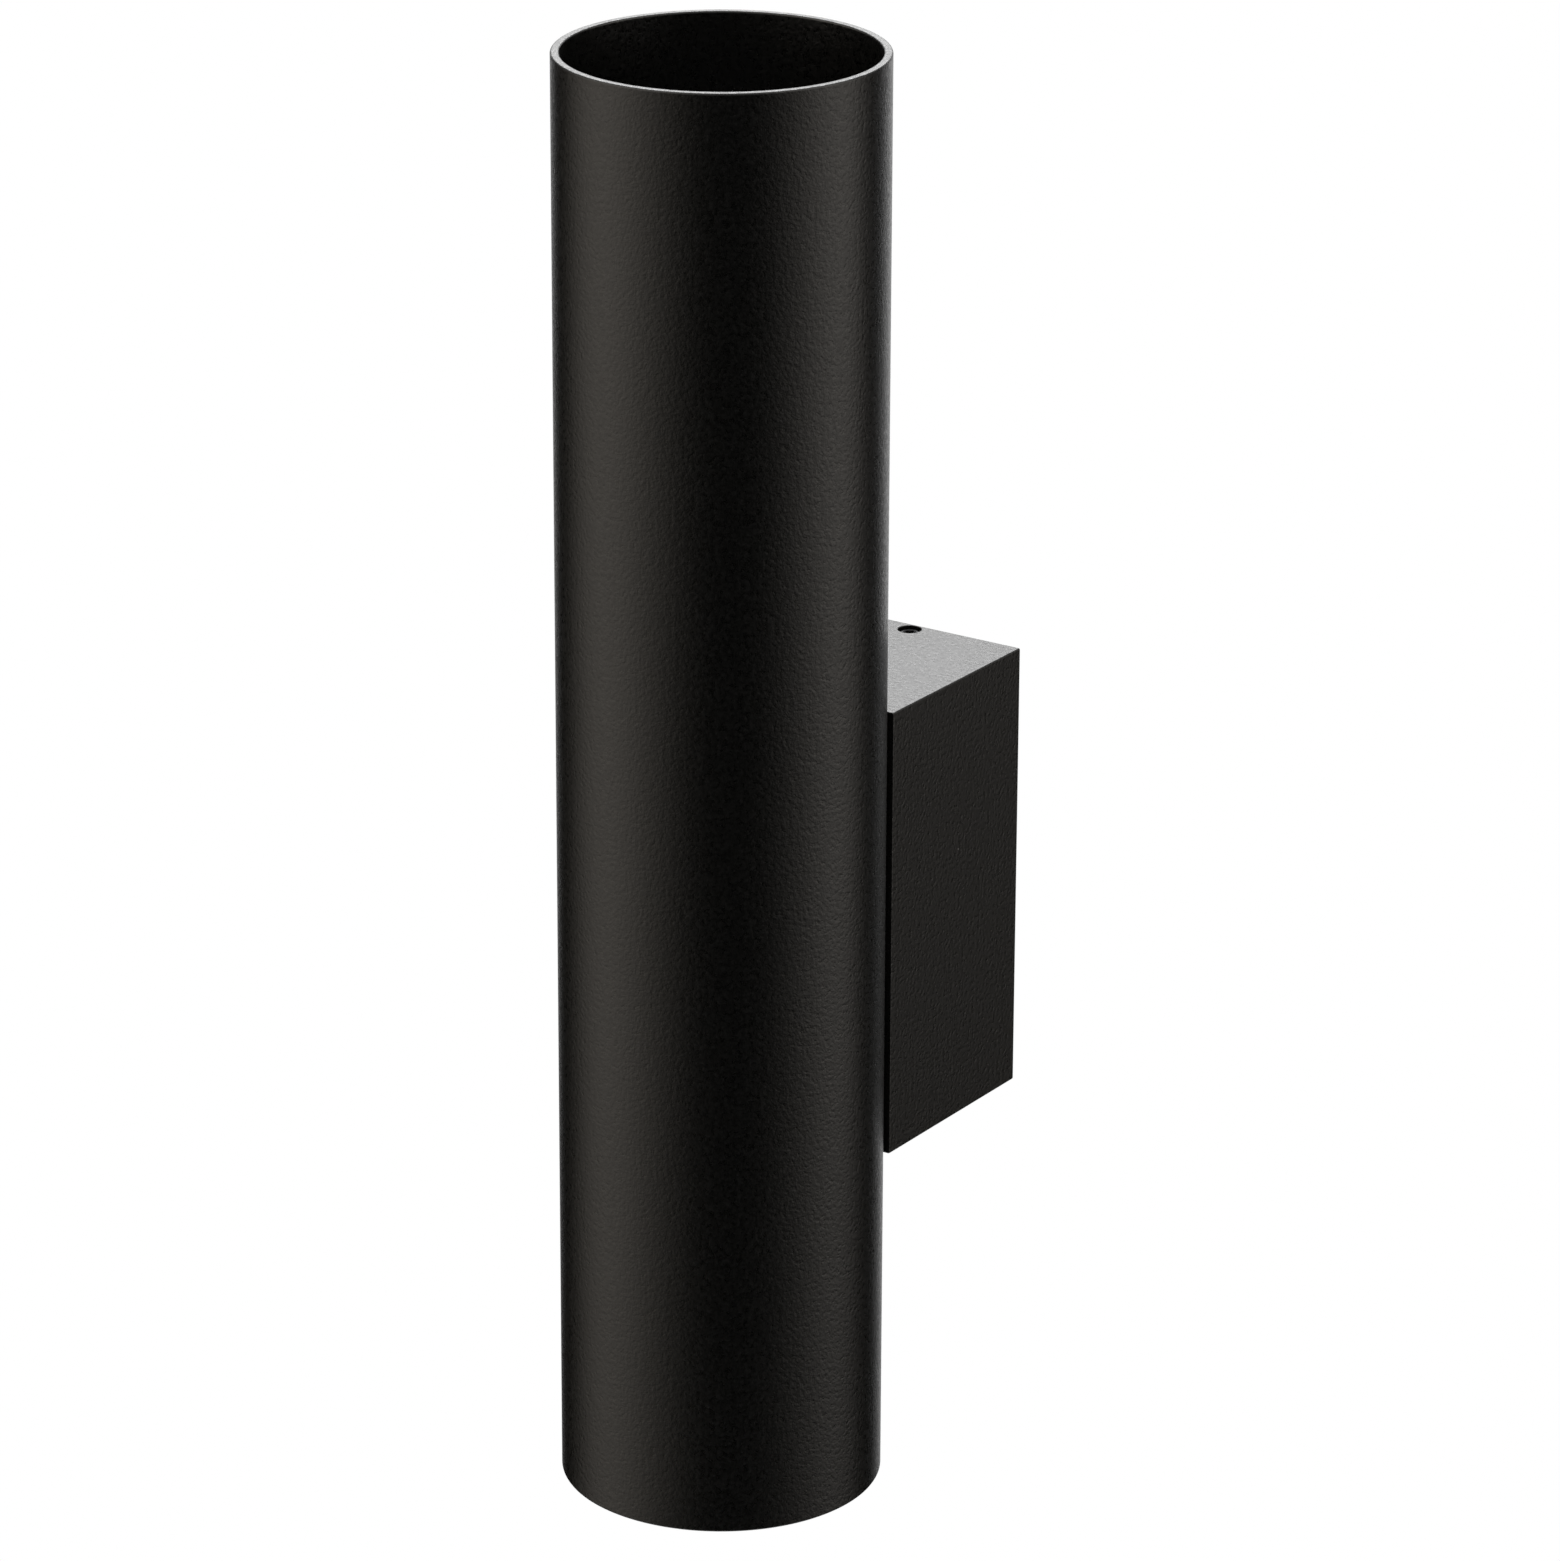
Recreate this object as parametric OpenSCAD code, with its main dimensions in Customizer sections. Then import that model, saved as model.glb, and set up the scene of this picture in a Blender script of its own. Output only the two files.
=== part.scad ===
// Up-and-down wall light: an upright round tube, open at both ends, carried by a slim box on the wall.
// The wall is the plane y = 0, the room lies towards -y, and +z is up.
// The origin is on the wall, midway between the two holes for the wall screws.

/* [Tube] */
// Outer diameter of the tube
tube_d = 55; // [48:0.5:62]
// Wall thickness of the tube
tube_wall = 1.5; // [1:0.1:1.6]
// Length of the tube
tube_len = 250; // [190:2:320]
// Height of the tube's middle above the box's middle
tube_rise = 29.4; // [20:0.2:36]

/* [Wall box] */
// Width of the box
box_w = 42; // [41:1:54]
// Height of the box
box_h = 80; // [78:1:100]
// Depth of the box, from the wall to its front edges
box_depth = 40; // [40:1:55]
// Wall thickness of the box
box_wall = 2; // [1.6:0.1:2.2]
// How deep the tube sinks into the hollow front of the box
saddle_depth = 7.5; // [6:0.1:7.6]

/* [Mounting plate] */
// Thickness of the folded steel plate
plate_t = 1.5; // [1:0.1:2]
// Depth of the plate's folded top and bottom edges
flange_depth = 8; // [7:0.5:12]
// Distance between the two wall screw holes
fixing_pitch = 50; // [47:0.5:54]
// Diameter of a wall screw hole
fixing_hole_d = 5; // [4:0.1:5.5]
// Diameter of the way in for the supply cable
cable_bore_d = 8; // [6:0.1:8.5]

/* [Lock screws] */
// Thread diameter of the screws that hold the box on the plate
lock_d = 4; // [3:0.5:4]
// Length of a lock screw
lock_len = 3; // [2.6:0.1:3.2]
// Distance of a lock screw from the wall
lock_from_wall = 2.5; // [2.5:0.1:5]

/* [Lamps] */
// Gap between a lamp's front and the bore of the tube
lamp_play = 1; // [0.8:0.1:3]
// Length of a lamp without its pins
lamp_len = 46.5; // [42:0.5:48]
// Free height between the two feet of the strap that carries the lamps
strap_room = 41.4; // [40:0.2:60]
// Turn that frees a lamp from its holder, in degrees
lamp_turn = 30; // [20:1:35]

/* [Hidden] */
$fn = 96;

// Overrun of every cut past the face that it opens
over = 1;
// Radial clearance of a screw in its thread
thread_fit = 0.05;
// Clearance between a piece and the pocket that it sits in
seat_fit = 0.1;
// Gap kept between pieces that face each other without touching
air_gap = 0.3;

// Eased edge at the two ends of the tube
rim_ease = 0.2;

// Gap between the box and the flat of the plate's folded edges
flange_gap = 1.4;
// Gap between the plate and each side wall of the box
plate_side_gap = 0.6;
// Height of the raised seat round the nipple, inside the box
boss_rise = 1;
// Radius of that seat
boss_r = 9;

// Hollow nipple and its nuts, an M10 by 1 thread
nipple_d = 10;
nipple_wall = 1.1;
nipple_hole_gap = 0.2;
nipple_show = 0.8;
nipple_nut_t = 3;
nipple_nut_wall = 2;
// How far the nipple lies below the top wall of the box and below the middle of the strap
nipple_below_top = 16;
nipple_below_strap_middle = 7.4;
// Toothed washers under the two nuts
washer_t = 0.8;
washer_ring_w = 3;
washer_teeth = 12;
washer_notch_w = 1.6;
washer_notch_depth = 1.4;
// Plastic bushes that line both ends of the nipple
bush_wall = 0.5;
bush_lip_t = 1;
bush_depth = 4;

// Earth tag on the nipple: a ring, a leg bent away from the seat, and a crimp
tag_t = 0.8;
tag_ring_wall = 2;
tag_leg_w = 3;
tag_leg_reach = 2.5;
tag_leg_len = 3.6;
crimp_d = 2.6;
crimp_len = 4;

// Strap that carries both lampholders
strap_w = 16;
strap_t = 1.5;

// Lampholder for two pins, with keyholes that lock by a turn
pin_pitch = 10;
pin_neck_d = 3;
pin_head_d = 4.8;
pin_neck_len = 4.2;
pin_head_len = 2.8;
pin_root_len = 3;
holder_d = 28;
holder_flat_w = 24;
holder_h = 16;
holder_face_t = 2.5;
holder_chamber_depth = 5.5;
neck_slot_gap = 0.3;
head_hole_gap = 0.3;
head_chamber_gap = 0.4;
holder_screw_pitch = 17.5;
holder_screw_d = 3;
holder_screw_head_d = 5.6;
holder_screw_head_t = 2;
holder_screw_sink = 3;
holder_screw_show = 0.6;
holder_nut_wall = 1.25;
holder_nut_t = 2.4;
slot_w = 0.8;
slot_share = 0.5;
contact_stem_d = 2.2;
contact_hole_gap = 0.2;
contact_out = 1.5;
flange_lead_hole_d = 5;

// Lamp: base, cone, rim, and the bowl behind its lens
lamp_base_d = 25;
lamp_base_h = 10;
lamp_rim_h = 8;
lamp_rim_w = 2.5;
lamp_lens_t = 2;
lamp_lens_crown = 0.8;
lamp_lens_steps = 6;
lamp_lens_sink = 0.8;
lamp_lens_ledge = 1.5;
lamp_bowl_depth = 10;
lamp_bowl_floor_d = 27;
lamp_board_gap = 0.5;
lamp_board_t = 1.6;
lamp_chips = 6;
lamp_chip_ring_r = 8;
lamp_chip_w = 2.8;
lamp_chip_t = 0.6;

// Terminal block: three poles side by side, wires in from above and below
poles = [-1, 0, 1];
pole_pitch = 10;
block_end_wall = 1.7;
block_len = 17;
block_t = 14;
block_below_nipple = 8;
clamp_w = 5.4;
clamp_len = 13;
clamp_wall = 1;
clamp_rise = 5;
wire_way_d = 4.6;
clamp_screw_d = 3;
clamp_screw_pitch = 8;
clamp_screw_head_d = 3.8;
clamp_screw_head_t = 1.6;
clamp_screw_len = 4.4;
clamp_well_gap = 0.2;
block_screw_d = 3;
block_screw_hole_gap = 0.1;
block_screw_head_d = 4.6;
block_screw_head_t = 2;
block_screw_well_gap = 0.1;
block_screw_sink = 5;

// Ferrules crimped on the ends of the leads
ferrule_d = 2;
ferrule_len = 6;
ferrule_mouth_len = 4;
ferrule_mouth_wall = 0.2;

// Cable bush pressed into the plate
bush_ring_wall = 1;
cable_lip_w = 2;
cable_lip_t = 1.2;
cable_below_block = 4;

// Earth screw on the plate, with its ring tag
earth_from_plate_side = 6.4;
earth_height_share = 0.315;
earth_screw_d = 4;
earth_head_d = 7;
earth_head_t = 2.4;
earth_collar_wall = 1.4;
earth_collar_h = 1.5;
earth_ring_wall = 1.6;

// Leads: single cores in heat-proof sleeving
lead_d = 1.6;
lead_gap = 1;
lead_slot_gap = 0.55;
lead_sides = 8;
lead_steps = 9;
// Reach of a lead's curves: inside the tube, out of the nipple and above the terminals, where the leads
// of the upper holder arch higher, so that the box can be drawn off its plate
tube_reach = 9;
nipple_reach = 10;
terminal_reach = 22;
arch_step = 2;
// Reach of the earth leads' curves: out of the nipple's tag, above the terminals and on the plate
tag_reach = 14;
earth_reach = 20;
plate_earth_reach = 5;

// Hexagon socket of a lock screw, and the cone at its tip
lock_socket_across = 2;
lock_socket_depth = 1.6;
lock_tip_d = 2.4;
lock_tip_h = 0.5;

// Colours
coat = "#1b1a1a";
zinc = "#b9bcc0";
oxide = "#161616";
nickel = "#c9c7c0";
brass = "#c2a05a";
nylon = "#ecebe4";
bush_black = "#222222";
ceramic = "#efece2";
lamp_white = "#e9e9e6";
lens_white = "#f4f4f0";
board_white = "#f2f2f2";
brown = "#5a3420";
blue = "#2a57a5";
earth_green = "#5c9a2e";

// Places that follow from the sizes above
tube_r = tube_d / 2;
bore_r = tube_r - tube_wall;
saddle_r = tube_r + seat_fit;
axis_y = -(box_depth - saddle_depth + tube_r);
tube_low = tube_rise - tube_len / 2;
box_in_w = box_w - 2 * box_wall;
box_in_h = box_h - 2 * box_wall;
plate_w = box_in_w - 2 * plate_side_gap;
plate_h = box_in_h - 2 * flange_gap;

// Stack of pieces along the nipple, from the wall side to the inside of the tube
nipple_z = box_in_h / 2 - nipple_below_top;
strap_middle_z = nipple_z + nipple_below_strap_middle;
boss_y = axis_y + saddle_r + box_wall + boss_rise;
box_washer_y = boss_y;
box_tag_y = box_washer_y + washer_t;
box_nut_y = box_tag_y + tag_t;
nipple_box_end = box_nut_y + nipple_nut_t + nipple_show;
strap_y = axis_y + sqrt(pow(bore_r, 2) - pow(strap_w / 2, 2)) - seat_fit - strap_t;
tube_washer_y = strap_y - washer_t;
tube_nut_y = tube_washer_y - nipple_nut_t;
nipple_tube_end = tube_nut_y - nipple_show;
nipple_r = nipple_d / 2;
nipple_bore_r = nipple_r - nipple_wall;
nipple_hole_r = nipple_r + nipple_hole_gap;
bush_r = nipple_bore_r - thread_fit;
lead_slot_r = bush_r - bush_wall - lead_d / 2 - lead_slot_gap;

// Heights measured from the strap's middle towards either end
strap_under = strap_room / 2;
holder_back = strap_under + strap_t;
holder_face = holder_back + holder_h;
lamp_back = holder_face + air_gap;
lamp_front = lamp_back + lamp_len;
chamber_floor = holder_face - holder_face_t - holder_chamber_depth;
pin_end = lamp_back - pin_neck_len - pin_head_len;
contact_top = pin_end - air_gap;
crimp_start = strap_under - contact_out;
lead_start = crimp_start - crimp_len;

// Diameters in a lamp
lamp_d = 2 * (bore_r - lamp_play);
lamp_lens_d = lamp_d - 2 * lamp_rim_w;
lamp_board_d = lamp_bowl_floor_d - 2 * lamp_board_gap;

// Terminal block
block_w = 2 * (pole_pitch + clamp_w / 2 + seat_fit + block_end_wall);
block_back_y = -plate_t;
block_front_y = block_back_y - block_t;
block_top_z = nipple_z - block_below_nipple;
block_z = block_top_z - block_len / 2;
clamp_y = block_back_y - clamp_rise;
clamp_screw_tip_y = clamp_y - ferrule_d / 2 - seat_fit;
block_screw_head_y = block_front_y + block_screw_sink;
pair_shift = (lead_d + lead_gap) / 2;
lead_end_z = block_top_z + ferrule_mouth_len;

// Cable bush
cable_lip_r = cable_bore_d / 2 + bush_ring_wall + cable_lip_w;
cable_z = block_z - block_len / 2 - cable_below_block - cable_lip_r;

// Earth screw
earth_seat_y = -plate_t - earth_collar_h;
earth_tag_r = earth_screw_d / 2 + earth_ring_wall;
earth_x = earth_from_plate_side - plate_w / 2;
plate_fold_z = plate_t - plate_h / 2;
earth_z = plate_fold_z + earth_height_share * (block_z - block_len / 2 - plate_fold_z);
earth_crimp_z = earth_z + earth_tag_r;
earth_lead_y = earth_seat_y - crimp_d / 2;

// A cylinder along y
module along_y(r, y0, y1, x = 0, z = 0) {
    translate([x, y0, z]) rotate([-90, 0, 0]) cylinder(r = r, h = y1 - y0);
}

// A cylinder along z
module along_z(r, z0, z1, x = 0, y = 0) {
    translate([x, y, z0]) cylinder(r = r, h = z1 - z0);
}

// A hexagon nut along z, with the distance across its flats
module hex_nut(across, thick, bore) {
    difference() {
        cylinder(r = across / 2 / cos(30), h = thick, $fn = 6);
        translate([0, 0, -over]) cylinder(r = bore, h = thick + 2 * over);
    }
}

// A slotted screw along z: the head stands on z = 0 and the shank runs down
module slotted_screw(shank_d, shank_len, head_d, head_t) {
    cut_depth = head_t * slot_share;
    difference() {
        union() {
            cylinder(r = head_d / 2, h = head_t);
            translate([0, 0, -shank_len]) cylinder(r = shank_d / 2, h = shank_len);
        }
        translate([-head_d, -slot_w / 2, head_t - cut_depth]) cube([2 * head_d, slot_w, cut_depth + over]);
    }
}

// Places its children at the strap's middle, facing up or turned over to face down
module toward_top() {
    translate([0, axis_y, strap_middle_z]) children();
}

module toward_bottom() {
    translate([0, axis_y, strap_middle_z]) rotate([180, 0, 0]) children();
}

// Curves and routes of the leads
function bezier(a, b, c, d, t) =
    pow(1 - t, 3) * a + 3 * t * pow(1 - t, 2) * b + 3 * t * t * (1 - t) * c + pow(t, 3) * d;

function curve(a, a_way, a_reach, b, b_way, b_reach) = [
    for (i = [0:lead_steps]) bezier(a, a + a_way * a_reach, b + b_way * b_reach, b, i / lead_steps)
];

// A route that leaves both ends square for one lead diameter and curves between
function square_ended(a, a_way, a_reach, b, b_way, b_reach) = concat(
    [a],
    curve(a + a_way * lead_d, a_way, a_reach, b + b_way * lead_d, b_way, b_reach),
    [b]
);

// From a crimp behind a lampholder, through the nipple, to a ferrule in the terminal block.
// side is 1 or -1 in x, rank is 1 for the lead of the upper holder and -1 for that of the lower one.
function holder_route(side, rank) =
    let (
        slot_shift = lead_slot_r / sqrt(2),
        crimp = [side * pin_pitch / 2, axis_y, strap_middle_z + rank * lead_start],
        in_mouth = [side * slot_shift, nipple_tube_end - bush_lip_t, nipple_z + rank * slot_shift],
        out_mouth = [side * slot_shift, nipple_box_end + bush_lip_t, nipple_z + rank * slot_shift],
        ferrule = [side * (pole_pitch + rank * pair_shift), clamp_y, lead_end_z]
    )
    concat(
        [crimp],
        curve(crimp - [0, 0, rank * lead_d], [0, 0, -rank], tube_reach, in_mouth, [0, -1, 0], tube_reach),
        curve(out_mouth, [0, 1, 0], nipple_reach, ferrule + [0, 0, lead_d], [0, 0, 1],
            terminal_reach + rank * arch_step),
        [ferrule]
    );

function unit(v) = v / norm(v);

// A round lead swept along its route; level is a direction that the route never takes
module lead(route, level) {
    last = len(route) - 1;
    rings = [
        for (i = [0:last])
            let (
                way = unit(route[min(i + 1, last)] - route[max(i - 1, 0)]),
                across = unit(cross(way, level)),
                upward = cross(across, way)
            )
            for (k = [0:lead_sides - 1])
                let (turn = 360 * k / lead_sides)
                route[i] + lead_d / 2 * (cos(turn) * across + sin(turn) * upward)
    ];
    sides = [
        for (i = [0:last - 1], k = [0:lead_sides - 1])
            let (
                a = i * lead_sides + k,
                b = i * lead_sides + (k + 1) % lead_sides
            )
            each [[a, b, b + lead_sides], [a, b + lead_sides, a + lead_sides]]
    ];
    first_cap = [for (k = [lead_sides - 1:-1:0]) k];
    last_cap = [for (k = [0:lead_sides - 1]) last * lead_sides + k];
    polyhedron(points = rings, faces = concat([first_cap], sides, [last_cap]));
}

// Pieces that stay on the wall

module plate_folds() {
    translate([-plate_w / 2, -plate_t, -plate_h / 2]) cube([plate_w, plate_t, plate_h]);
    for (low = [-plate_h / 2, plate_h / 2 - plate_t])
        translate([-plate_w / 2, -flange_depth, low]) cube([plate_w, flange_depth, plate_t]);
}

module mounting_plate() {
    color(zinc)
    difference() {
        union() {
            plate_folds();
            along_y(earth_screw_d / 2 + earth_collar_wall, earth_seat_y, 0, earth_x, earth_z);
        }
        for (side = [-1, 1])
            along_y(fixing_hole_d / 2, -plate_t - over, over, 0, side * fixing_pitch / 2);
        along_y(cable_bore_d / 2 + bush_ring_wall + seat_fit, -plate_t - over, over, 0, cable_z);
        along_y(earth_screw_d / 2 + thread_fit, earth_seat_y - over, over, earth_x, earth_z);
        for (side = [-1, 1])
            along_y(block_screw_d / 2 + thread_fit, -plate_t - over, over, side * pole_pitch / 2, block_z);
    }
}

module cable_bush() {
    color(bush_black)
    difference() {
        union() {
            along_y(cable_bore_d / 2 + bush_ring_wall, -plate_t, 0, 0, cable_z);
            along_y(cable_lip_r, -plate_t - cable_lip_t, -plate_t, 0, cable_z);
        }
        along_y(cable_bore_d / 2, -plate_t - cable_lip_t - over, over, 0, cable_z);
    }
}

module terminal_block() {
    pocket_w = clamp_w + 2 * seat_fit;
    pocket_len = clamp_len + 2 * seat_fit;
    color(nylon)
    difference() {
        translate([-block_w / 2, block_front_y, block_z - block_len / 2])
            cube([block_w, block_t, block_len]);
        for (pole = poles) {
            translate([pole * pole_pitch - pocket_w / 2, clamp_y - pocket_w / 2, block_z - pocket_len / 2])
                cube([pocket_w, pocket_w, pocket_len]);
            along_z(wire_way_d / 2, block_z - block_len / 2 - over, block_top_z + over,
                pole * pole_pitch, clamp_y);
            for (end = [-1, 1])
                along_y(clamp_screw_head_d / 2 + clamp_well_gap, block_front_y - over, clamp_y,
                    pole * pole_pitch, block_z + end * clamp_screw_pitch / 2);
        }
        for (side = [-1, 1]) {
            along_y(block_screw_d / 2 + block_screw_hole_gap, block_front_y - over, block_back_y + over,
                side * pole_pitch / 2, block_z);
            along_y(block_screw_head_d / 2 + block_screw_well_gap, block_front_y - over, block_screw_head_y,
                side * pole_pitch / 2, block_z);
        }
    }
}

module terminal_clamps() {
    color(brass)
    for (pole = poles)
        difference() {
            translate([pole * pole_pitch - clamp_w / 2, clamp_y - clamp_w / 2, block_z - clamp_len / 2])
                cube([clamp_w, clamp_w, clamp_len]);
            along_z(clamp_w / 2 - clamp_wall, block_z - clamp_len / 2 - over, block_z + clamp_len / 2 + over,
                pole * pole_pitch, clamp_y);
            for (end = [-1, 1])
                along_y(clamp_screw_d / 2 + thread_fit, clamp_y - clamp_w, clamp_y, pole * pole_pitch,
                    block_z + end * clamp_screw_pitch / 2);
        }
}

module terminal_screws() {
    color(nickel)
    for (pole = poles, end = [-1, 1])
        translate([
            pole * pole_pitch,
            clamp_screw_tip_y - clamp_screw_len,
            block_z + end * clamp_screw_pitch / 2
        ])
            rotate([90, 0, 0])
            slotted_screw(clamp_screw_d, clamp_screw_len, clamp_screw_head_d, clamp_screw_head_t);
}

module terminal_fixing_screws() {
    color(zinc)
    for (side = [-1, 1])
        translate([side * pole_pitch / 2, block_screw_head_y, block_z])
            rotate([90, 0, 0])
            slotted_screw(block_screw_d, -block_screw_head_y - seat_fit,
                block_screw_head_d, block_screw_head_t);
}

// A ferrule for one or two leads: a mouth on the block's face and a tail in the clamp.
// end is 1 above the block and -1 below it.
module ferrule(pole, end, leads) {
    mouth_w = lead_d + 2 * ferrule_mouth_wall + (leads - 1) * (lead_d + lead_gap);
    mouth_t = lead_d + 2 * ferrule_mouth_wall;
    translate([pole * pole_pitch, clamp_y, block_z])
        rotate([end > 0 ? 0 : 180, 0, 0]) {
            translate([-mouth_w / 2, -mouth_t / 2, block_len / 2])
                cube([mouth_w, mouth_t, ferrule_mouth_len]);
            along_z(ferrule_d / 2, block_len / 2 - ferrule_len, block_len / 2);
        }
}

module lead_ferrules() {
    color(nickel) {
        ferrule(-1, 1, 2);
        ferrule(0, 1, 1);
        ferrule(1, 1, 2);
        ferrule(0, -1, 1);
    }
}

module plate_earth_screw() {
    color(brass)
    translate([earth_x, earth_seat_y - tag_t, earth_z])
        rotate([90, 0, 0])
        slotted_screw(earth_screw_d, -(earth_seat_y - tag_t) - seat_fit, earth_head_d, earth_head_t);
}

module plate_earth_tag() {
    color(nickel)
    difference() {
        union() {
            along_y(earth_tag_r, earth_seat_y - tag_t, earth_seat_y, earth_x, earth_z);
            translate([earth_x - tag_leg_w / 2, earth_seat_y - tag_t, earth_z])
                cube([tag_leg_w, tag_t, earth_tag_r + tag_leg_reach]);
            along_z(crimp_d / 2, earth_crimp_z + tag_leg_reach - tag_t,
                earth_crimp_z + tag_leg_reach + crimp_len, earth_x, earth_lead_y);
        }
        along_y(earth_screw_d / 2 + seat_fit, earth_seat_y - tag_t - over, earth_seat_y + over,
            earth_x, earth_z);
    }
}

module plate_earth_lead() {
    color(earth_green)
    lead(
        square_ended(
            [earth_x, earth_lead_y, earth_crimp_z + tag_leg_reach + crimp_len], [0, 0, 1], plate_earth_reach,
            [0, clamp_y, block_z - block_len / 2 - ferrule_mouth_len], [0, 0, -1], plate_earth_reach
        ),
        [0, 1, 0]
    );
}

// Box, tube and what joins them

module wall_box() {
    color(coat)
    difference() {
        translate([-box_w / 2, -box_depth, -box_h / 2]) cube([box_w, box_depth, box_h]);
        along_z(saddle_r, -box_h / 2 - over, box_h / 2 + over, 0, axis_y);
        // The hollow, open at the wall and closed at the front by a wall that follows the tube
        difference() {
            translate([-box_in_w / 2, box_wall - box_depth, -box_in_h / 2])
                cube([box_in_w, box_depth - box_wall + over, box_in_h]);
            along_z(saddle_r + box_wall, -box_h / 2 - over, box_h / 2 + over, 0, axis_y);
            along_y(boss_r, axis_y, boss_y, 0, nipple_z);
        }
        along_y(nipple_hole_r, axis_y, boss_y + over, 0, nipple_z);
        for (face = [-1, 1])
            translate([0, -lock_from_wall, face * (box_h - box_wall) / 2])
                cylinder(r = lock_d / 2 + thread_fit, h = box_wall + 2 * over, center = true);
    }
}

module tube() {
    color(coat)
    difference() {
        translate([0, axis_y, tube_low])
            rotate_extrude()
            polygon([
                [bore_r, rim_ease], [bore_r + rim_ease, 0], [tube_r - rim_ease, 0], [tube_r, rim_ease],
                [tube_r, tube_len - rim_ease], [tube_r - rim_ease, tube_len],
                [bore_r + rim_ease, tube_len], [bore_r, tube_len - rim_ease]
            ]);
        along_y(nipple_hole_r, axis_y, axis_y + tube_r + over, 0, nipple_z);
    }
}

module hollow_nipple() {
    color(zinc)
    difference() {
        along_y(nipple_r, nipple_tube_end, nipple_box_end, 0, nipple_z);
        along_y(nipple_bore_r, nipple_tube_end - over, nipple_box_end + over, 0, nipple_z);
    }
}

module nipple_nuts() {
    color(zinc)
    for (low = [tube_nut_y, box_nut_y])
        translate([0, low, nipple_z])
            rotate([-90, 0, 0])
            hex_nut(nipple_d + 2 * nipple_nut_wall, nipple_nut_t, nipple_r + thread_fit);
}

module toothed_washers() {
    washer_r = nipple_r + washer_ring_w;
    notch_r = washer_r - washer_notch_depth;
    color(zinc)
    for (low = [tube_washer_y, box_washer_y])
        translate([0, low, nipple_z])
            rotate([-90, 0, 0])
            difference() {
                cylinder(r = washer_r, h = washer_t);
                translate([0, 0, -over]) cylinder(r = nipple_r + seat_fit, h = washer_t + 2 * over);
                for (i = [0:washer_teeth - 1])
                    rotate(360 * i / washer_teeth)
                        translate([notch_r, -washer_notch_w / 2, -over])
                        cube([washer_notch_depth + over, washer_notch_w, washer_t + 2 * over]);
            }
}

module nipple_earth_tag() {
    ring_r = nipple_r + seat_fit + tag_ring_wall;
    leg_z = nipple_z + ring_r + tag_leg_reach;
    color(nickel)
    difference() {
        union() {
            along_y(ring_r, box_tag_y, box_tag_y + tag_t, 0, nipple_z);
            translate([-tag_leg_w / 2, box_tag_y, nipple_z])
                cube([tag_leg_w, tag_t, ring_r + tag_leg_reach]);
            translate([-tag_leg_w / 2, box_tag_y, leg_z - tag_t])
                cube([tag_leg_w, tag_leg_len, tag_t]);
            along_y(crimp_d / 2, box_tag_y + tag_leg_len - tag_t, box_tag_y + tag_leg_len + crimp_len,
                0, leg_z);
        }
        along_y(nipple_r + seat_fit, box_tag_y - over, box_tag_y + tag_t + over, 0, nipple_z);
    }
}

module lead_bushes() {
    color(nylon)
    for (place = [[nipple_box_end, 0], [nipple_tube_end, 180]])
        translate([0, place[0], nipple_z])
            rotate([-90 + place[1], 0, 0])
            difference() {
                union() {
                    along_z(bush_r, -bush_depth, 0);
                    along_z(nipple_r, 0, bush_lip_t);
                }
                along_z(bush_r - bush_wall, -bush_depth - over, bush_lip_t + over);
            }
}

// Lampholders and the strap that carries them

module strap_foot() {
    difference() {
        union() {
            cylinder(r = holder_d / 2, h = strap_t);
            translate([-strap_w / 2, 0, 0]) cube([strap_w, strap_y + strap_t - axis_y, strap_t]);
        }
        for (side = [-1, 1]) {
            translate([side * pin_pitch / 2, 0, -over])
                cylinder(r = flange_lead_hole_d / 2, h = strap_t + 2 * over);
            translate([0, side * holder_screw_pitch / 2, -over])
                cylinder(r = holder_screw_d / 2 + seat_fit, h = strap_t + 2 * over);
        }
    }
}

module lampholder_bracket() {
    color(zinc)
    union() {
        for (low = [strap_under, -holder_back])
            translate([0, axis_y, strap_middle_z + low]) strap_foot();
        difference() {
            translate([-strap_w / 2, strap_y, strap_middle_z - holder_back])
                cube([strap_w, strap_t, 2 * holder_back]);
            along_y(nipple_hole_r, strap_y - over, strap_y + strap_t + over, 0, nipple_z);
        }
    }
}

// An arc of a ring round the pins' circle, from angle a0 to a1
module pin_arc(half_w, low, high, a0, a1) {
    for (side = [0, 180])
        translate([0, 0, low])
            rotate(side + a0)
            rotate_extrude(angle = a1 - a0)
            translate([pin_pitch / 2 - half_w, 0])
            square([2 * half_w, high - low]);
}

// The angle that a half width takes up on the pins' circle
function arc_angle(half_w) = 2 * asin(half_w / pin_pitch);

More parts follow.
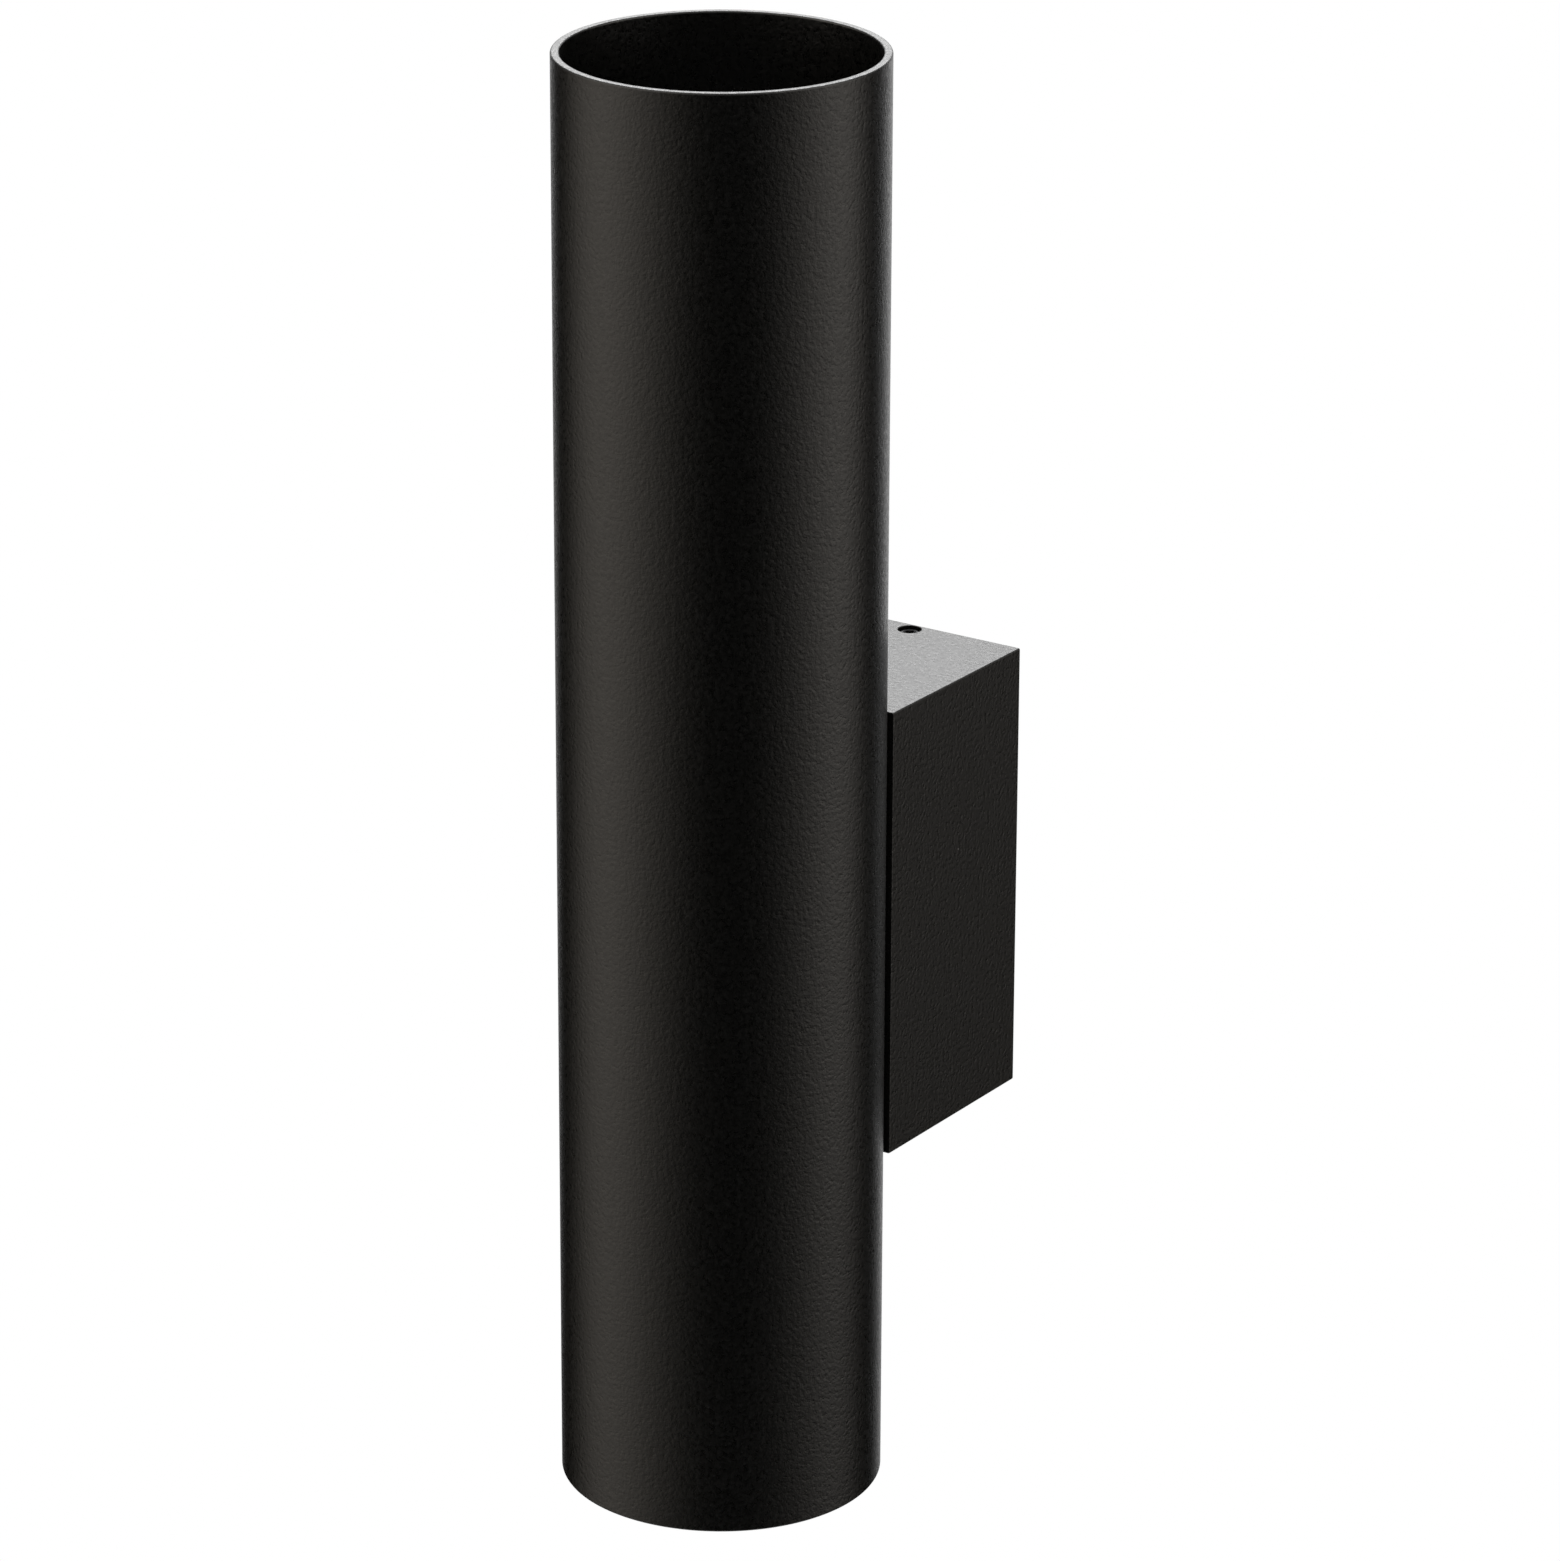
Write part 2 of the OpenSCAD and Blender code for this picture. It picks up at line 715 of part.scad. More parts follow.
module lampholder() {
    neck_half = pin_neck_d / 2 + neck_slot_gap;
    head_half = pin_head_d / 2 + head_chamber_gap;
    color(ceramic)
    difference() {
        intersection() {
            along_z(holder_d / 2, holder_back, holder_face);
            translate([-holder_d / 2, -holder_flat_w / 2, holder_back])
                cube([holder_d, holder_flat_w, holder_h]);
        }
        pin_arc(neck_half, chamber_floor + over, holder_face + over, -arc_angle(neck_half), lamp_turn);
        pin_arc(head_half, chamber_floor, holder_face - holder_face_t, -arc_angle(head_half),
            lamp_turn + arc_angle(head_half));
        for (side = [0, 180])
            rotate(side) {
                rotate(lamp_turn)
                    along_z(pin_head_d / 2 + head_hole_gap, chamber_floor + over, holder_face + over,
                        pin_pitch / 2);
                along_z(contact_stem_d / 2 + contact_hole_gap, holder_back - over, chamber_floor + over,
                    pin_pitch / 2);
                along_z(holder_screw_d / 2 + seat_fit, holder_back - over, holder_face + over,
                    0, holder_screw_pitch / 2);
                along_z(holder_screw_head_d / 2 + seat_fit, holder_face - holder_screw_sink,
                    holder_face + over, 0, holder_screw_pitch / 2);
            }
    }
}

module contacts() {
    color(nickel)
    for (side = [-1, 1]) {
        along_z(pin_head_d / 2, chamber_floor, contact_top, side * pin_pitch / 2);
        along_z(contact_stem_d / 2, crimp_start, chamber_floor, side * pin_pitch / 2);
        along_z(crimp_d / 2, lead_start, crimp_start, side * pin_pitch / 2);
    }
}

module holder_screws() {
    head_low = holder_face - holder_screw_sink;
    shank = head_low - strap_under + holder_nut_t + holder_screw_show;
    color(zinc)
    for (side = [-1, 1])
        translate([0, side * holder_screw_pitch / 2, head_low])
            slotted_screw(holder_screw_d, shank, holder_screw_head_d, holder_screw_head_t);
}

module nut_pair() {
    for (side = [-1, 1])
        translate([0, side * holder_screw_pitch / 2, strap_under - holder_nut_t])
            hex_nut(holder_screw_d + 2 * holder_nut_wall, holder_nut_t, holder_screw_d / 2 + thread_fit);
}

module upper_lampholder() toward_top() lampholder();
module lower_lampholder() toward_bottom() lampholder();
module upper_contacts() toward_top() contacts();
module lower_contacts() toward_bottom() contacts();
module upper_holder_screws() toward_top() holder_screws();
module lower_holder_screws() toward_bottom() holder_screws();

module holder_nuts() {
    color(zinc) {
        toward_top() nut_pair();
        toward_bottom() nut_pair();
    }
}

module upper_live_lead() color(brown) lead(holder_route(1, 1), [1, 0, 0]);
module upper_neutral_lead() color(blue) lead(holder_route(-1, 1), [1, 0, 0]);
module lower_live_lead() color(brown) lead(holder_route(1, -1), [1, 0, 0]);
module lower_neutral_lead() color(blue) lead(holder_route(-1, -1), [1, 0, 0]);

module fixture_earth_lead() {
    tag_end = [
        0,
        box_tag_y + tag_leg_len + crimp_len,
        nipple_z + nipple_r + seat_fit + tag_ring_wall + tag_leg_reach
    ];
    color(earth_green)
    lead(
        square_ended(tag_end, [0, 1, 0], tag_reach, [0, clamp_y, lead_end_z], [0, 0, 1], earth_reach),
        [1, 0, 0]
    );
}

// Lock screws: the tip bears on the plate's folded edge

module lock_screw() {
    tip_z = plate_h / 2;
    color(oxide)
    translate([0, -lock_from_wall, tip_z])
        difference() {
            union() {
                cylinder(r1 = lock_tip_d / 2, r2 = lock_d / 2, h = lock_tip_h);
                translate([0, 0, lock_tip_h]) cylinder(r = lock_d / 2, h = lock_len - lock_tip_h);
            }
            translate([0, 0, lock_len - lock_socket_depth])
                cylinder(r = lock_socket_across / 2 / cos(30), h = lock_socket_depth + over, $fn = 6);
        }
}

module upper_lock_screw() lock_screw();
module lower_lock_screw() mirror([0, 0, 1]) lock_screw();

// Lamps: pins at the back, lens at the front

module lamp_body() {
    ledge_r = lamp_lens_d / 2 - lamp_lens_ledge;
    ledge_z = lamp_front - lamp_lens_sink - lamp_lens_t;
    color(lamp_white)
    difference() {
        rotate_extrude()
            polygon([
                [0, lamp_back], [lamp_base_d / 2, lamp_back], [lamp_base_d / 2, lamp_back + lamp_base_h],
                [lamp_d / 2, lamp_front - lamp_rim_h], [lamp_d / 2, lamp_front],
                [lamp_lens_d / 2 + seat_fit, lamp_front], [lamp_lens_d / 2 + seat_fit, ledge_z],
                [ledge_r, ledge_z], [lamp_bowl_floor_d / 2, ledge_z - lamp_bowl_depth],
                [0, ledge_z - lamp_bowl_depth]
            ]);
        for (side = [-1, 1])
            along_z(pin_neck_d / 2 + thread_fit, lamp_back - over, lamp_back + pin_root_len,
                side * pin_pitch / 2);
    }
}

module lamp_board() {
    floor_z = lamp_front - lamp_lens_sink - lamp_lens_t - lamp_bowl_depth;
    color(board_white)
    union() {
        along_z(lamp_board_d / 2, floor_z, floor_z + lamp_board_t);
        for (i = [0:lamp_chips - 1])
            rotate(360 * i / lamp_chips)
                translate([lamp_chip_ring_r - lamp_chip_w / 2, -lamp_chip_w / 2, floor_z])
                cube([lamp_chip_w, lamp_chip_w, lamp_board_t + lamp_chip_t]);
    }
}

// The lens is a disc whose front rises to a low crown
module lamp_lens() {
    edge_r = lamp_lens_d / 2;
    disc_z = lamp_front - lamp_lens_sink - lamp_lens_t;
    crown_z = disc_z + lamp_lens_t;
    color(lens_white)
    rotate_extrude()
        polygon(concat(
            [[0, disc_z], [edge_r, disc_z]],
            [
                for (i = [lamp_lens_steps:-1:0])
                    let (share = i / lamp_lens_steps)
                    [edge_r * share, crown_z - lamp_lens_crown * share * share]
            ]
        ));
}

module lamp_pins() {
    color(nickel)
    for (side = [-1, 1]) {
        along_z(pin_neck_d / 2, lamp_back - pin_neck_len, lamp_back + pin_root_len, side * pin_pitch / 2);
        along_z(pin_head_d / 2, pin_end, lamp_back - pin_neck_len, side * pin_pitch / 2);
    }
}

module upper_lamp_body() toward_top() lamp_body();
module upper_lamp_board() toward_top() lamp_board();
module upper_lamp_lens() toward_top() lamp_lens();
module upper_lamp_pins() toward_top() lamp_pins();
module lower_lamp_body() toward_bottom() lamp_body();
module lower_lamp_board() toward_bottom() lamp_board();
module lower_lamp_lens() toward_bottom() lamp_lens();
module lower_lamp_pins() toward_bottom() lamp_pins();

mounting_plate();
cable_bush();
terminal_block();
terminal_clamps();
terminal_screws();
terminal_fixing_screws();
lead_ferrules();
plate_earth_screw();
plate_earth_tag();
plate_earth_lead();
wall_box();
tube();
hollow_nipple();
nipple_nuts();
toothed_washers();
nipple_earth_tag();
lead_bushes();
lampholder_bracket();
upper_lampholder();
lower_lampholder();
upper_contacts();
lower_contacts();
upper_holder_screws();
lower_holder_screws();
holder_nuts();
upper_live_lead();
upper_neutral_lead();
lower_live_lead();
lower_neutral_lead();
fixture_earth_lead();
upper_lock_screw();
lower_lock_screw();
upper_lamp_body();
upper_lamp_board();
upper_lamp_lens();
upper_lamp_pins();
lower_lamp_body();
lower_lamp_board();
lower_lamp_lens();
lower_lamp_pins();
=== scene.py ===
"""Tube wall light: a black tube, open at both ends, on a slim wall box, with all that works inside it.

Shapes are worked out in millimetres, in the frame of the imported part: the wall is y = 0, the room lies
towards -y and z is up. Each finished piece is turned to metres.
"""

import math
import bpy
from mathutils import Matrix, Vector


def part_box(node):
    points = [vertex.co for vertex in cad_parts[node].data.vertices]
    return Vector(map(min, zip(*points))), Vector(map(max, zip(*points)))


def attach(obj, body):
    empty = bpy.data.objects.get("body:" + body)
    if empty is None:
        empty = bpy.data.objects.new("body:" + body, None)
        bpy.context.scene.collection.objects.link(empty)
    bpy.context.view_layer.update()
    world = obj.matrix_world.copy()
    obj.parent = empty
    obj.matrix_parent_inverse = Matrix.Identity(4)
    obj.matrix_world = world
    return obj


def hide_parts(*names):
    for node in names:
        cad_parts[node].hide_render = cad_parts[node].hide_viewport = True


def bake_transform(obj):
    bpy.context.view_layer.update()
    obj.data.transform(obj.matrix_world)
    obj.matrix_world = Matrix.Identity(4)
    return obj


bl_info = {
    "name": "Tube Wall Light",
    "version": (1, 0, 0),
    "blender": (4, 5, 0),
    "location": "View3D > Sidebar > Tube Light",
    "description": "Builds the dressed tube wall light round its packed frame",
    "category": "Object",
}

from types import SimpleNamespace

import bmesh
import bpy
from bpy.props import FloatProperty, FloatVectorProperty, PointerProperty
from mathutils import Matrix, Vector

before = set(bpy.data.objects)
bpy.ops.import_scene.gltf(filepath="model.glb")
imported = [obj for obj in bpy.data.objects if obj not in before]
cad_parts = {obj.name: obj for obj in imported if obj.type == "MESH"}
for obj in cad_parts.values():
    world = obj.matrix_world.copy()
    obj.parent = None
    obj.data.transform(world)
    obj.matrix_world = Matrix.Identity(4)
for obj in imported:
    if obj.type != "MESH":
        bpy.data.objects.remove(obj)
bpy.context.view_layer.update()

# Millimetres in a metre
MM = 1000.0
# Steps of a rounded corner in a profile
ROUND_STEPS = 4
# Faces that meet at less than this look smooth
SMOOTH_ANGLE = math.radians(32)
# Overrun of every cut past the face that it opens
OVER = 1.0

# Heights and places on the frame, in millimetres
AXIS_Y = -60.0
NIPPLE_Z = 22.0
STRAP_Z = 29.4
STRAP_Y = -36.861
HOLDER_BACK = 22.2
HOLDER_FACE = 38.2
LAMP_BACK = 38.5
LAMP_FRONT = 85.0
LENS_SEAT = LAMP_FRONT - 2.8
BOWL_FLOOR = LAMP_FRONT - 12.8
PIN_SHIFT = 5.0
HOLDER_SCREW_SHIFT = 8.75
SEAT_Y = -29.4
LOCK_Y = -2.5
CABLE_Z = -14.0
EARTH_X = -12.0
EARTH_Z = -24.99
CLAMP_Y = -6.5
POLES = (-10.0, 0.0, 10.0)
SCREW_ENDS = (-4.0, 4.0)
FIXING_XS = (-5.0, 5.0)
BLOCK_Z = 5.5
BLOCK_LOW = -3.0
BLOCK_HIGH = 14.0
BLOCK_FRONT = -15.5
# Sizes that several pieces share: diameter of a lead, radius of a hole for the nipple, thickness of the sheet
LEAD_D = 1.6
NIPPLE_HOLE_R = 5.2
SHEET = 1.5


# Colours and small helpers


def linear(code):
    """A colour written as an sRGB hex value, turned to linear light with full alpha."""
    parts = [int(code[i : i + 2], 16) / 255 for i in (1, 3, 5)]
    return tuple(c / 12.92 if c <= 0.04045 else ((c + 0.055) / 1.055) ** 2.4 for c in parts) + (1.0,)


def size_of(node, axis):
    """The size of a CAD node along x, y or z, in millimetres."""
    low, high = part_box(node)
    return round((high[axis] - low[axis]) * MM, 3)


def length(label, note, value):
    """A size for the panel, from its default in millimetres."""
    return FloatProperty(name=label, description=note, default=value / MM, min=0, precision=5,
                         subtype="DISTANCE", unit="LENGTH")


def tint(label, note, code):
    """A colour for the panel, from its sRGB hex value."""
    return FloatVectorProperty(name=label, description=note, default=linear(code), size=4, min=0, max=1,
                               subtype="COLOR")


class TubeLightSizes(bpy.types.PropertyGroup):
    """Sizes of the visible pieces."""

    tube_diameter: length("Tube diameter", "Outer diameter of the tube", size_of("tube", 0))
    tube_length: length("Tube length", "Length of the tube", size_of("tube", 2))
    tube_wall: length("Tube wall", "Thickness of the tube's wall", 1.5)
    rim_round: length("Rim rounding", "Radius of the coated edge at both ends of the tube", 0.35)
    box_width: length("Box width", "Width of the wall box", size_of("wall_box", 0))
    box_height: length("Box height", "Height of the wall box", size_of("wall_box", 2))
    box_depth: length("Box depth", "Depth of the wall box", size_of("wall_box", 1))
    box_wall: length("Box wall", "Thickness of the wall box", 2)
    box_edge: length("Box edges", "Radius of the coated edges of the wall box", 0.3)
    plate_edge: length("Sheet edges", "Radius of the cut edges of sheet metal", 0.15)
    moulded_edge: length("Moulded edges", "Radius of the edges of moulded plastic pieces", 0.4)


class TubeLightColours(bpy.types.PropertyGroup):
    """Colours of the finishes."""

    coat: tint("Powder coat", "Black polyester powder on tube and box", "#030302")
    zinc_sheet: tint("Zinc-plated sheet", "Mounting plate and lamp strap", "#c3c7cb")
    zinc_turned: tint("Zinc-plated fasteners", "Nipple, nuts, washers and screws", "#c8cbd0")
    oxide: tint("Black oxide", "Lock screws", "#2a2a2c")
    nickel: tint("Nickel plate", "Ferrules, contacts, tags and pins", "#cdc8bd")
    brass: tint("Brass", "Clamps and earth screw", "#c9a25a")
    nylon: tint("Nylon", "Terminal block and lead bushes", "#ebe8dc")
    rubber: tint("Rubber", "Cable bush", "#1c1c1c")
    steatite: tint("Steatite", "Lampholders", "#ebe4d4")
    shell: tint("Lamp shell", "Moulded body of the lamps", "#ecebe6")
    lens: tint("Lens", "Frosted front of the lamps", "#f6f6f2")
    board: tint("Board", "White solder mask under the light chips", "#f0f0ec")
    phosphor: tint("Light chips", "Yellow phosphor of the light chips", "#e2b93c")
    brown: tint("Live leads", "Brown sleeving", "#5a3420")
    blue: tint("Neutral leads", "Blue sleeving", "#2a57a5")
    green: tint("Earth leads", "Green sleeving", "#3f8f2c")
    yellow: tint("Earth stripe", "Yellow stripe of the earth leads", "#e3cf2a")


def sizes():
    """The sizes of the panel in millimetres."""
    group = bpy.context.scene.tube_light_sizes
    return SimpleNamespace(**{name: getattr(group, name) * MM for name in TubeLightSizes.__annotations__})


# Shapes


def chain(bm, corners, to_point, closed=True):
    """Lays corners (a, b) or (a, b, rounding) as edges in a plane and rounds them."""
    verts = [bm.verts.new(to_point(c[0], c[1])) for c in corners]
    for a, b in zip(verts, verts[1:] + (verts[:1] if closed else [])):
        bm.edges.new((a, b))
    for reach in sorted({c[2] for c in corners if len(c) > 2}):
        chosen = [v for v, c in zip(verts, corners) if len(c) > 2 and c[2] == reach]
        bmesh.ops.bevel(bm, geom=chosen, offset=reach, offset_type="OFFSET", segments=ROUND_STEPS,
                        profile=0.5, affect="VERTICES", material=-1)


def tidy_shape(bm):
    """Merges doubles, and points all faces outwards."""
    bmesh.ops.remove_doubles(bm, verts=bm.verts, dist=1e-4)
    bmesh.ops.recalc_face_normals(bm, faces=bm.faces)
    return bm


def turned(corners, steps=64):
    """A body turned about z from corners (radius, height, rounding); closed to a ring off the axis."""
    bm = bmesh.new()
    chain(bm, corners, lambda r, h: (r, 0, h), closed=not corners[0][0] == corners[-1][0] == 0)
    bmesh.ops.spin(bm, geom=bm.verts[:] + bm.edges[:], cent=(0, 0, 0), axis=(0, 0, 1), dvec=(0, 0, 0),
                   angle=math.tau, steps=steps, use_merge=True, use_duplicate=False)
    return tidy_shape(bm)


def extruded(bm, way):
    """Fills the closed chain of edges in bm and draws the face out along way."""
    bmesh.ops.contextual_create(bm, geom=bm.edges[:])
    drawn = bmesh.ops.extrude_face_region(bm, geom=bm.faces[:])
    bmesh.ops.translate(bm, vec=way, verts=[g for g in drawn["geom"] if isinstance(g, bmesh.types.BMVert)])
    return tidy_shape(bm)


def folded(corners, low_x, high_x):
    """Folded sheet: a section of corners (y, z, rounding) drawn out along x."""
    bm = bmesh.new()
    chain(bm, corners, lambda y, z: (low_x, y, z))
    return extruded(bm, (high_x - low_x, 0, 0))


def block(low, high, edge=0.0, steps=2):
    """A block between two corners with its edges rounded."""
    bm = bmesh.new()
    low, high = Vector(low), Vector(high)
    bmesh.ops.create_cube(bm, size=1)
    bmesh.ops.scale(bm, vec=high - low, verts=bm.verts)
    bmesh.ops.translate(bm, vec=(high + low) / 2, verts=bm.verts)
    if edge:
        bmesh.ops.bevel(bm, geom=bm.edges[:], offset=edge, offset_type="OFFSET", segments=steps, profile=0.5,
                        affect="EDGES", material=-1)
    return bm


def rounded(bm, edge, steps=2, choose=lambda e: True):
    """Rounds the edges that meet at an angle and that choose picks."""
    sharp = [e for e in bm.edges if e.is_manifold and e.calc_face_angle(0) > SMOOTH_ANGLE and choose(e)]
    bmesh.ops.bevel(bm, geom=sharp, offset=edge, offset_type="OFFSET", segments=steps, profile=0.5,
                    affect="EDGES", material=-1)
    return bm


def sheet_edges(half_width):
    """Picks the edges that lie in the two side faces of folded sheet."""
    return lambda e: all(abs(abs(v.co.x) - half_width) < 0.01 for v in e.verts)


def rod(radius, low, high, edge=0.0, steps=48):
    """A round rod along z; with no rounding it serves as a drill."""
    end = (edge,) if edge else ()
    return turned([(0, low), (radius, low, *end), (radius, high, *end), (0, high)], steps)


def ring(inner, outer, low, high, edge=0.0, steps=64):
    """A round ring along z."""
    end = (edge,) if edge else ()
    return turned([(inner, low, *end), (outer, low, *end), (outer, high, *end), (inner, high, *end)], steps)


def hexagon(across, low, high):
    """A hexagonal bar along z, with its corners turned off at both ends as on a nut."""
    corner = across / 2 / math.cos(math.pi / 6)
    bm = bmesh.new()
    bmesh.ops.create_cone(bm, cap_ends=True, segments=6, radius1=corner, radius2=corner, depth=high - low)
    moved(bm, (0, 0, (high + low) / 2), (0, 0, 30))
    flat, wide = across * 0.48, corner + OVER
    rise = (wide - flat) * math.tan(math.pi / 6)
    turning = turned([(0, low), (flat, low), (wide, low + rise), (wide, high - rise), (flat, high),
                      (0, high)], 72)
    return worked(bm, [turning], "INTERSECT")


def mouthed_drill(radius, depth, flare, steps=40):
    """A drill that goes down from z = 0 and widens by flare at its mouth."""
    wide = radius + flare
    return turned([(0, -depth), (radius, -depth), (radius, -flare), (wide, 0), (wide, OVER), (0, OVER)], steps)


def thread(radius, low, high, pitch, depth):
    """Profile points of thread ridges along a turned body, from low to high."""
    points, count = [], max(1, round((high - low) / pitch))
    step = (high - low) / count
    for i in range(count):
        start = low + i * step
        points += [(radius - depth, start), (radius, start + 0.38 * step), (radius, start + 0.5 * step),
                   (radius - depth, start + 0.88 * step)]
    return points


def slotted_screw(shank_r, shank_len, head_r, head_h, pitch):
    """A slotted cheese-head screw along z: the head stands on z = 0 and the threaded shank runs down."""
    tip = 0.3
    body = turned([(0, -shank_len), (shank_r - tip, -shank_len),
                   *thread(shank_r, tip - shank_len, 0, pitch, 0.12 * shank_r),
                   (head_r, 0, 0.1), (head_r, head_h, 0.2 * head_h), (0, head_h)], 40)
    slot = block((-2 * head_r, -0.4, head_h / 2), (2 * head_r, 0.4, head_h + OVER))
    return worked(body, [slot])


def moved(bm, move=(0, 0, 0), turn=(0, 0, 0)):
    """Turns a shape about x, y and z in degrees, then moves it."""
    for axis, degrees in zip("XYZ", turn):
        if degrees:
            matrix = Matrix.Rotation(math.radians(degrees), 3, axis)
            bmesh.ops.rotate(bm, verts=bm.verts, cent=(0, 0, 0), matrix=matrix)
    bmesh.ops.translate(bm, vec=move, verts=bm.verts)
    return bm


def along_y(bm, x=0.0, y=0.0, z=0.0):
    """Lays a shape that was made along z along y instead, with its top towards the wall."""
    return moved(bm, (x, y, z), (-90, 0, 0))


def together(*shapes):
    """Several shapes as one mesh of separate solids."""
    joined = bmesh.new()
    for bm in shapes:
        mesh = bpy.data.meshes.new("part")
        bm.to_mesh(mesh)
        bm.free()
        joined.from_mesh(mesh)
        bpy.data.meshes.remove(mesh)
    return joined


def worked(bm, tools, operation="DIFFERENCE"):
    """Cuts each tool from the shape, or joins it to the shape, one after the other."""
    for tool in tools:
        made = []
        for shape in (bm, tool):
            mesh = bpy.data.meshes.new("workpiece")
            shape.to_mesh(mesh)
            shape.free()
            made.append(bpy.data.objects.new("workpiece", mesh))
            bpy.context.scene.collection.objects.link(made[-1])
        modifier = made[0].modifiers.new("work", "BOOLEAN")
        modifier.operation, modifier.solver, modifier.object = operation, "EXACT", made[1]
        result = made[0].evaluated_get(bpy.context.evaluated_depsgraph_get()).to_mesh()
        bm = bmesh.new()
        bm.from_mesh(result)
        for o in made:
            mesh = o.data
            bpy.data.objects.remove(o)
            bpy.data.meshes.remove(mesh)
        bmesh.ops.remove_doubles(bm, verts=bm.verts, dist=1e-4)
    return bm


def facing_up(bm):
    """Places a shape made about the strap's middle so that it faces up."""
    return moved(bm, (0, AXIS_Y, STRAP_Z))


def facing_down(bm):
    """Places a shape made about the strap's middle so that it faces down."""
    return moved(bm, (0, AXIS_Y, STRAP_Z), (180, 0, 0))


def piece(name, bm, body, slot, *nodes):
    """Makes the finished object: in metres, smooth where faces meet softly, with the finish of its slot, on
    its body and for its nodes."""
    bmesh.ops.scale(bm, vec=(1 / MM,) * 3, verts=bm.verts)
    mesh = bpy.data.meshes.new(name)
    bm.to_mesh(mesh)
    bm.free()
    mesh.polygons.foreach_set("use_smooth", [True] * len(mesh.polygons))
    mesh.set_sharp_from_angle(angle=SMOOTH_ANGLE)
    obj = bpy.data.objects.new(name, mesh)
    bpy.context.scene.collection.objects.link(obj)
    mesh.materials.append(MATERIALS[slot])
    # Flat faces keep their own normal beside rounded edges
    weighted = obj.modifiers.new("flat_faces", "WEIGHTED_NORMAL")
    weighted.mode, weighted.weight, weighted.keep_sharp = "FACE_AREA", 100, True
    if body:
        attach(obj, body)
    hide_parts(*nodes)
    return obj


# Finishes


def add_node(tree, kind, settings=None, links=None, out=0):
    """Adds a node, gives its attributes and sockets their settings, joins its inputs, returns an output."""
    node = tree.nodes.new("ShaderNode" + kind)
    for key, value in (settings or {}).items():
        if isinstance(key, str) and hasattr(node, key):
            setattr(node, key, value)
        else:
            node.inputs[key].default_value = value
    for key, source in (links or {}).items():
        tree.links.new(source, node.inputs[key])
    return node.outputs[out] if len(node.outputs) else None


def new_material(name):
    """An empty node material, its tree and the object coordinates that its patterns lie on."""
    material = bpy.data.materials.new(name)
    material.use_nodes = True
    tree = material.node_tree
    tree.nodes.clear()
    return material, tree, add_node(tree, "TexCoord", out="Object")


def shaded(colour, factor):
    """The colour made darker or lighter by a factor."""
    return tuple(min(1.0, c * factor) for c in colour[:3]) + (1.0,)


def varied(material, tree, colour, pattern, roughness, normal, settings):
    """Ends a finish with its shader, whose roughness goes between two values with the pattern."""
    sheen = add_node(tree, "MapRange", {"From Min": 0.3, "From Max": 0.7, "To Min": roughness[0],
                                        "To Max": roughness[1]}, {"Value": pattern})
    shader = add_node(tree, "BsdfPrincipled", settings,
                      {"Base Color": colour, "Roughness": sheen, "Normal": normal})
    add_node(tree, "OutputMaterial", links={"Surface": shader})
    return material


def powder_coat(colour):
    """Polyester powder, sprayed dry on steel and baked. The eye sees a satin black with a fine orange peel,
    faint lines of the drawn steel along the tube, and now and then a pale painted speck, partly baked-in dust
    and partly a painted glint of light on the coat."""
    material, tree, place = new_material("black_powder_coat")
    # Fine orange peel, about 0.7 mm from hill to hill, and deeper than real so that it shows
    peel = add_node(tree, "TexNoise", {"Scale": MM / 0.7, "Detail": 3.0, "Roughness": 0.6}, {"Vector": place})
    # Slow waves where the powder lay thicker, 5 mm across
    waves = add_node(tree, "TexNoise", {"Scale": MM / 5, "Detail": 2.0}, {"Vector": place})
    # Draw lines are hundredths of a millimetre wide; they are drawn 1 mm wide and 50 mm long to show
    along = add_node(tree, "Mapping", {"Scale": (1, 1, 0.02)}, {"Vector": place})
    lines = add_node(tree, "TexNoise", {"Scale": MM, "Detail": 2.0}, {"Vector": along})
    # Pale specks, partly baked-in dust and partly painted glints: 0.15 mm in radius, at most one in each cell
    # of 11 mm and in one cell out of four
    speck = add_node(tree, "TexVoronoi", {"Scale": MM / 11}, {"Vector": place}, "Distance")
    cell = add_node(tree, "SeparateColor", {}, {0: speck.node.outputs["Color"]})
    near = add_node(tree, "Math", {"operation": "LESS_THAN", 1: 0.014}, {0: speck})
    chosen = add_node(tree, "Math", {"operation": "GREATER_THAN", 1: 0.75}, {0: cell})
    dust_and_glints = add_node(tree, "Math", {"operation": "MULTIPLY"}, {0: near, 1: chosen})
    coat = add_node(tree, "Mix", {"data_type": "RGBA", 6: shaded(colour, 0.7), 7: shaded(colour, 1.3)},
                    {0: waves}, 2)
    # The pale specks go into the base colour: partly dust, partly painted glints
    mixed = add_node(tree, "Mix", {"data_type": "RGBA", 7: linear("#6f6c68")}, {0: dust_and_glints, 6: coat}, 2)
    normal = add_node(tree, "Bump", {"Strength": 0.6, "Distance": 0.000015}, {"Height": waves})
    normal = add_node(tree, "Bump", {"Strength": 0.8, "Distance": 0.000012},
                      {"Height": lines, "Normal": normal})
    normal = add_node(tree, "Bump", {"Strength": 1.0, "Distance": 0.0001}, {"Height": peel, "Normal": normal})
    return varied(material, tree, mixed, peel, (0.24, 0.4), normal, {"IOR": 1.5})


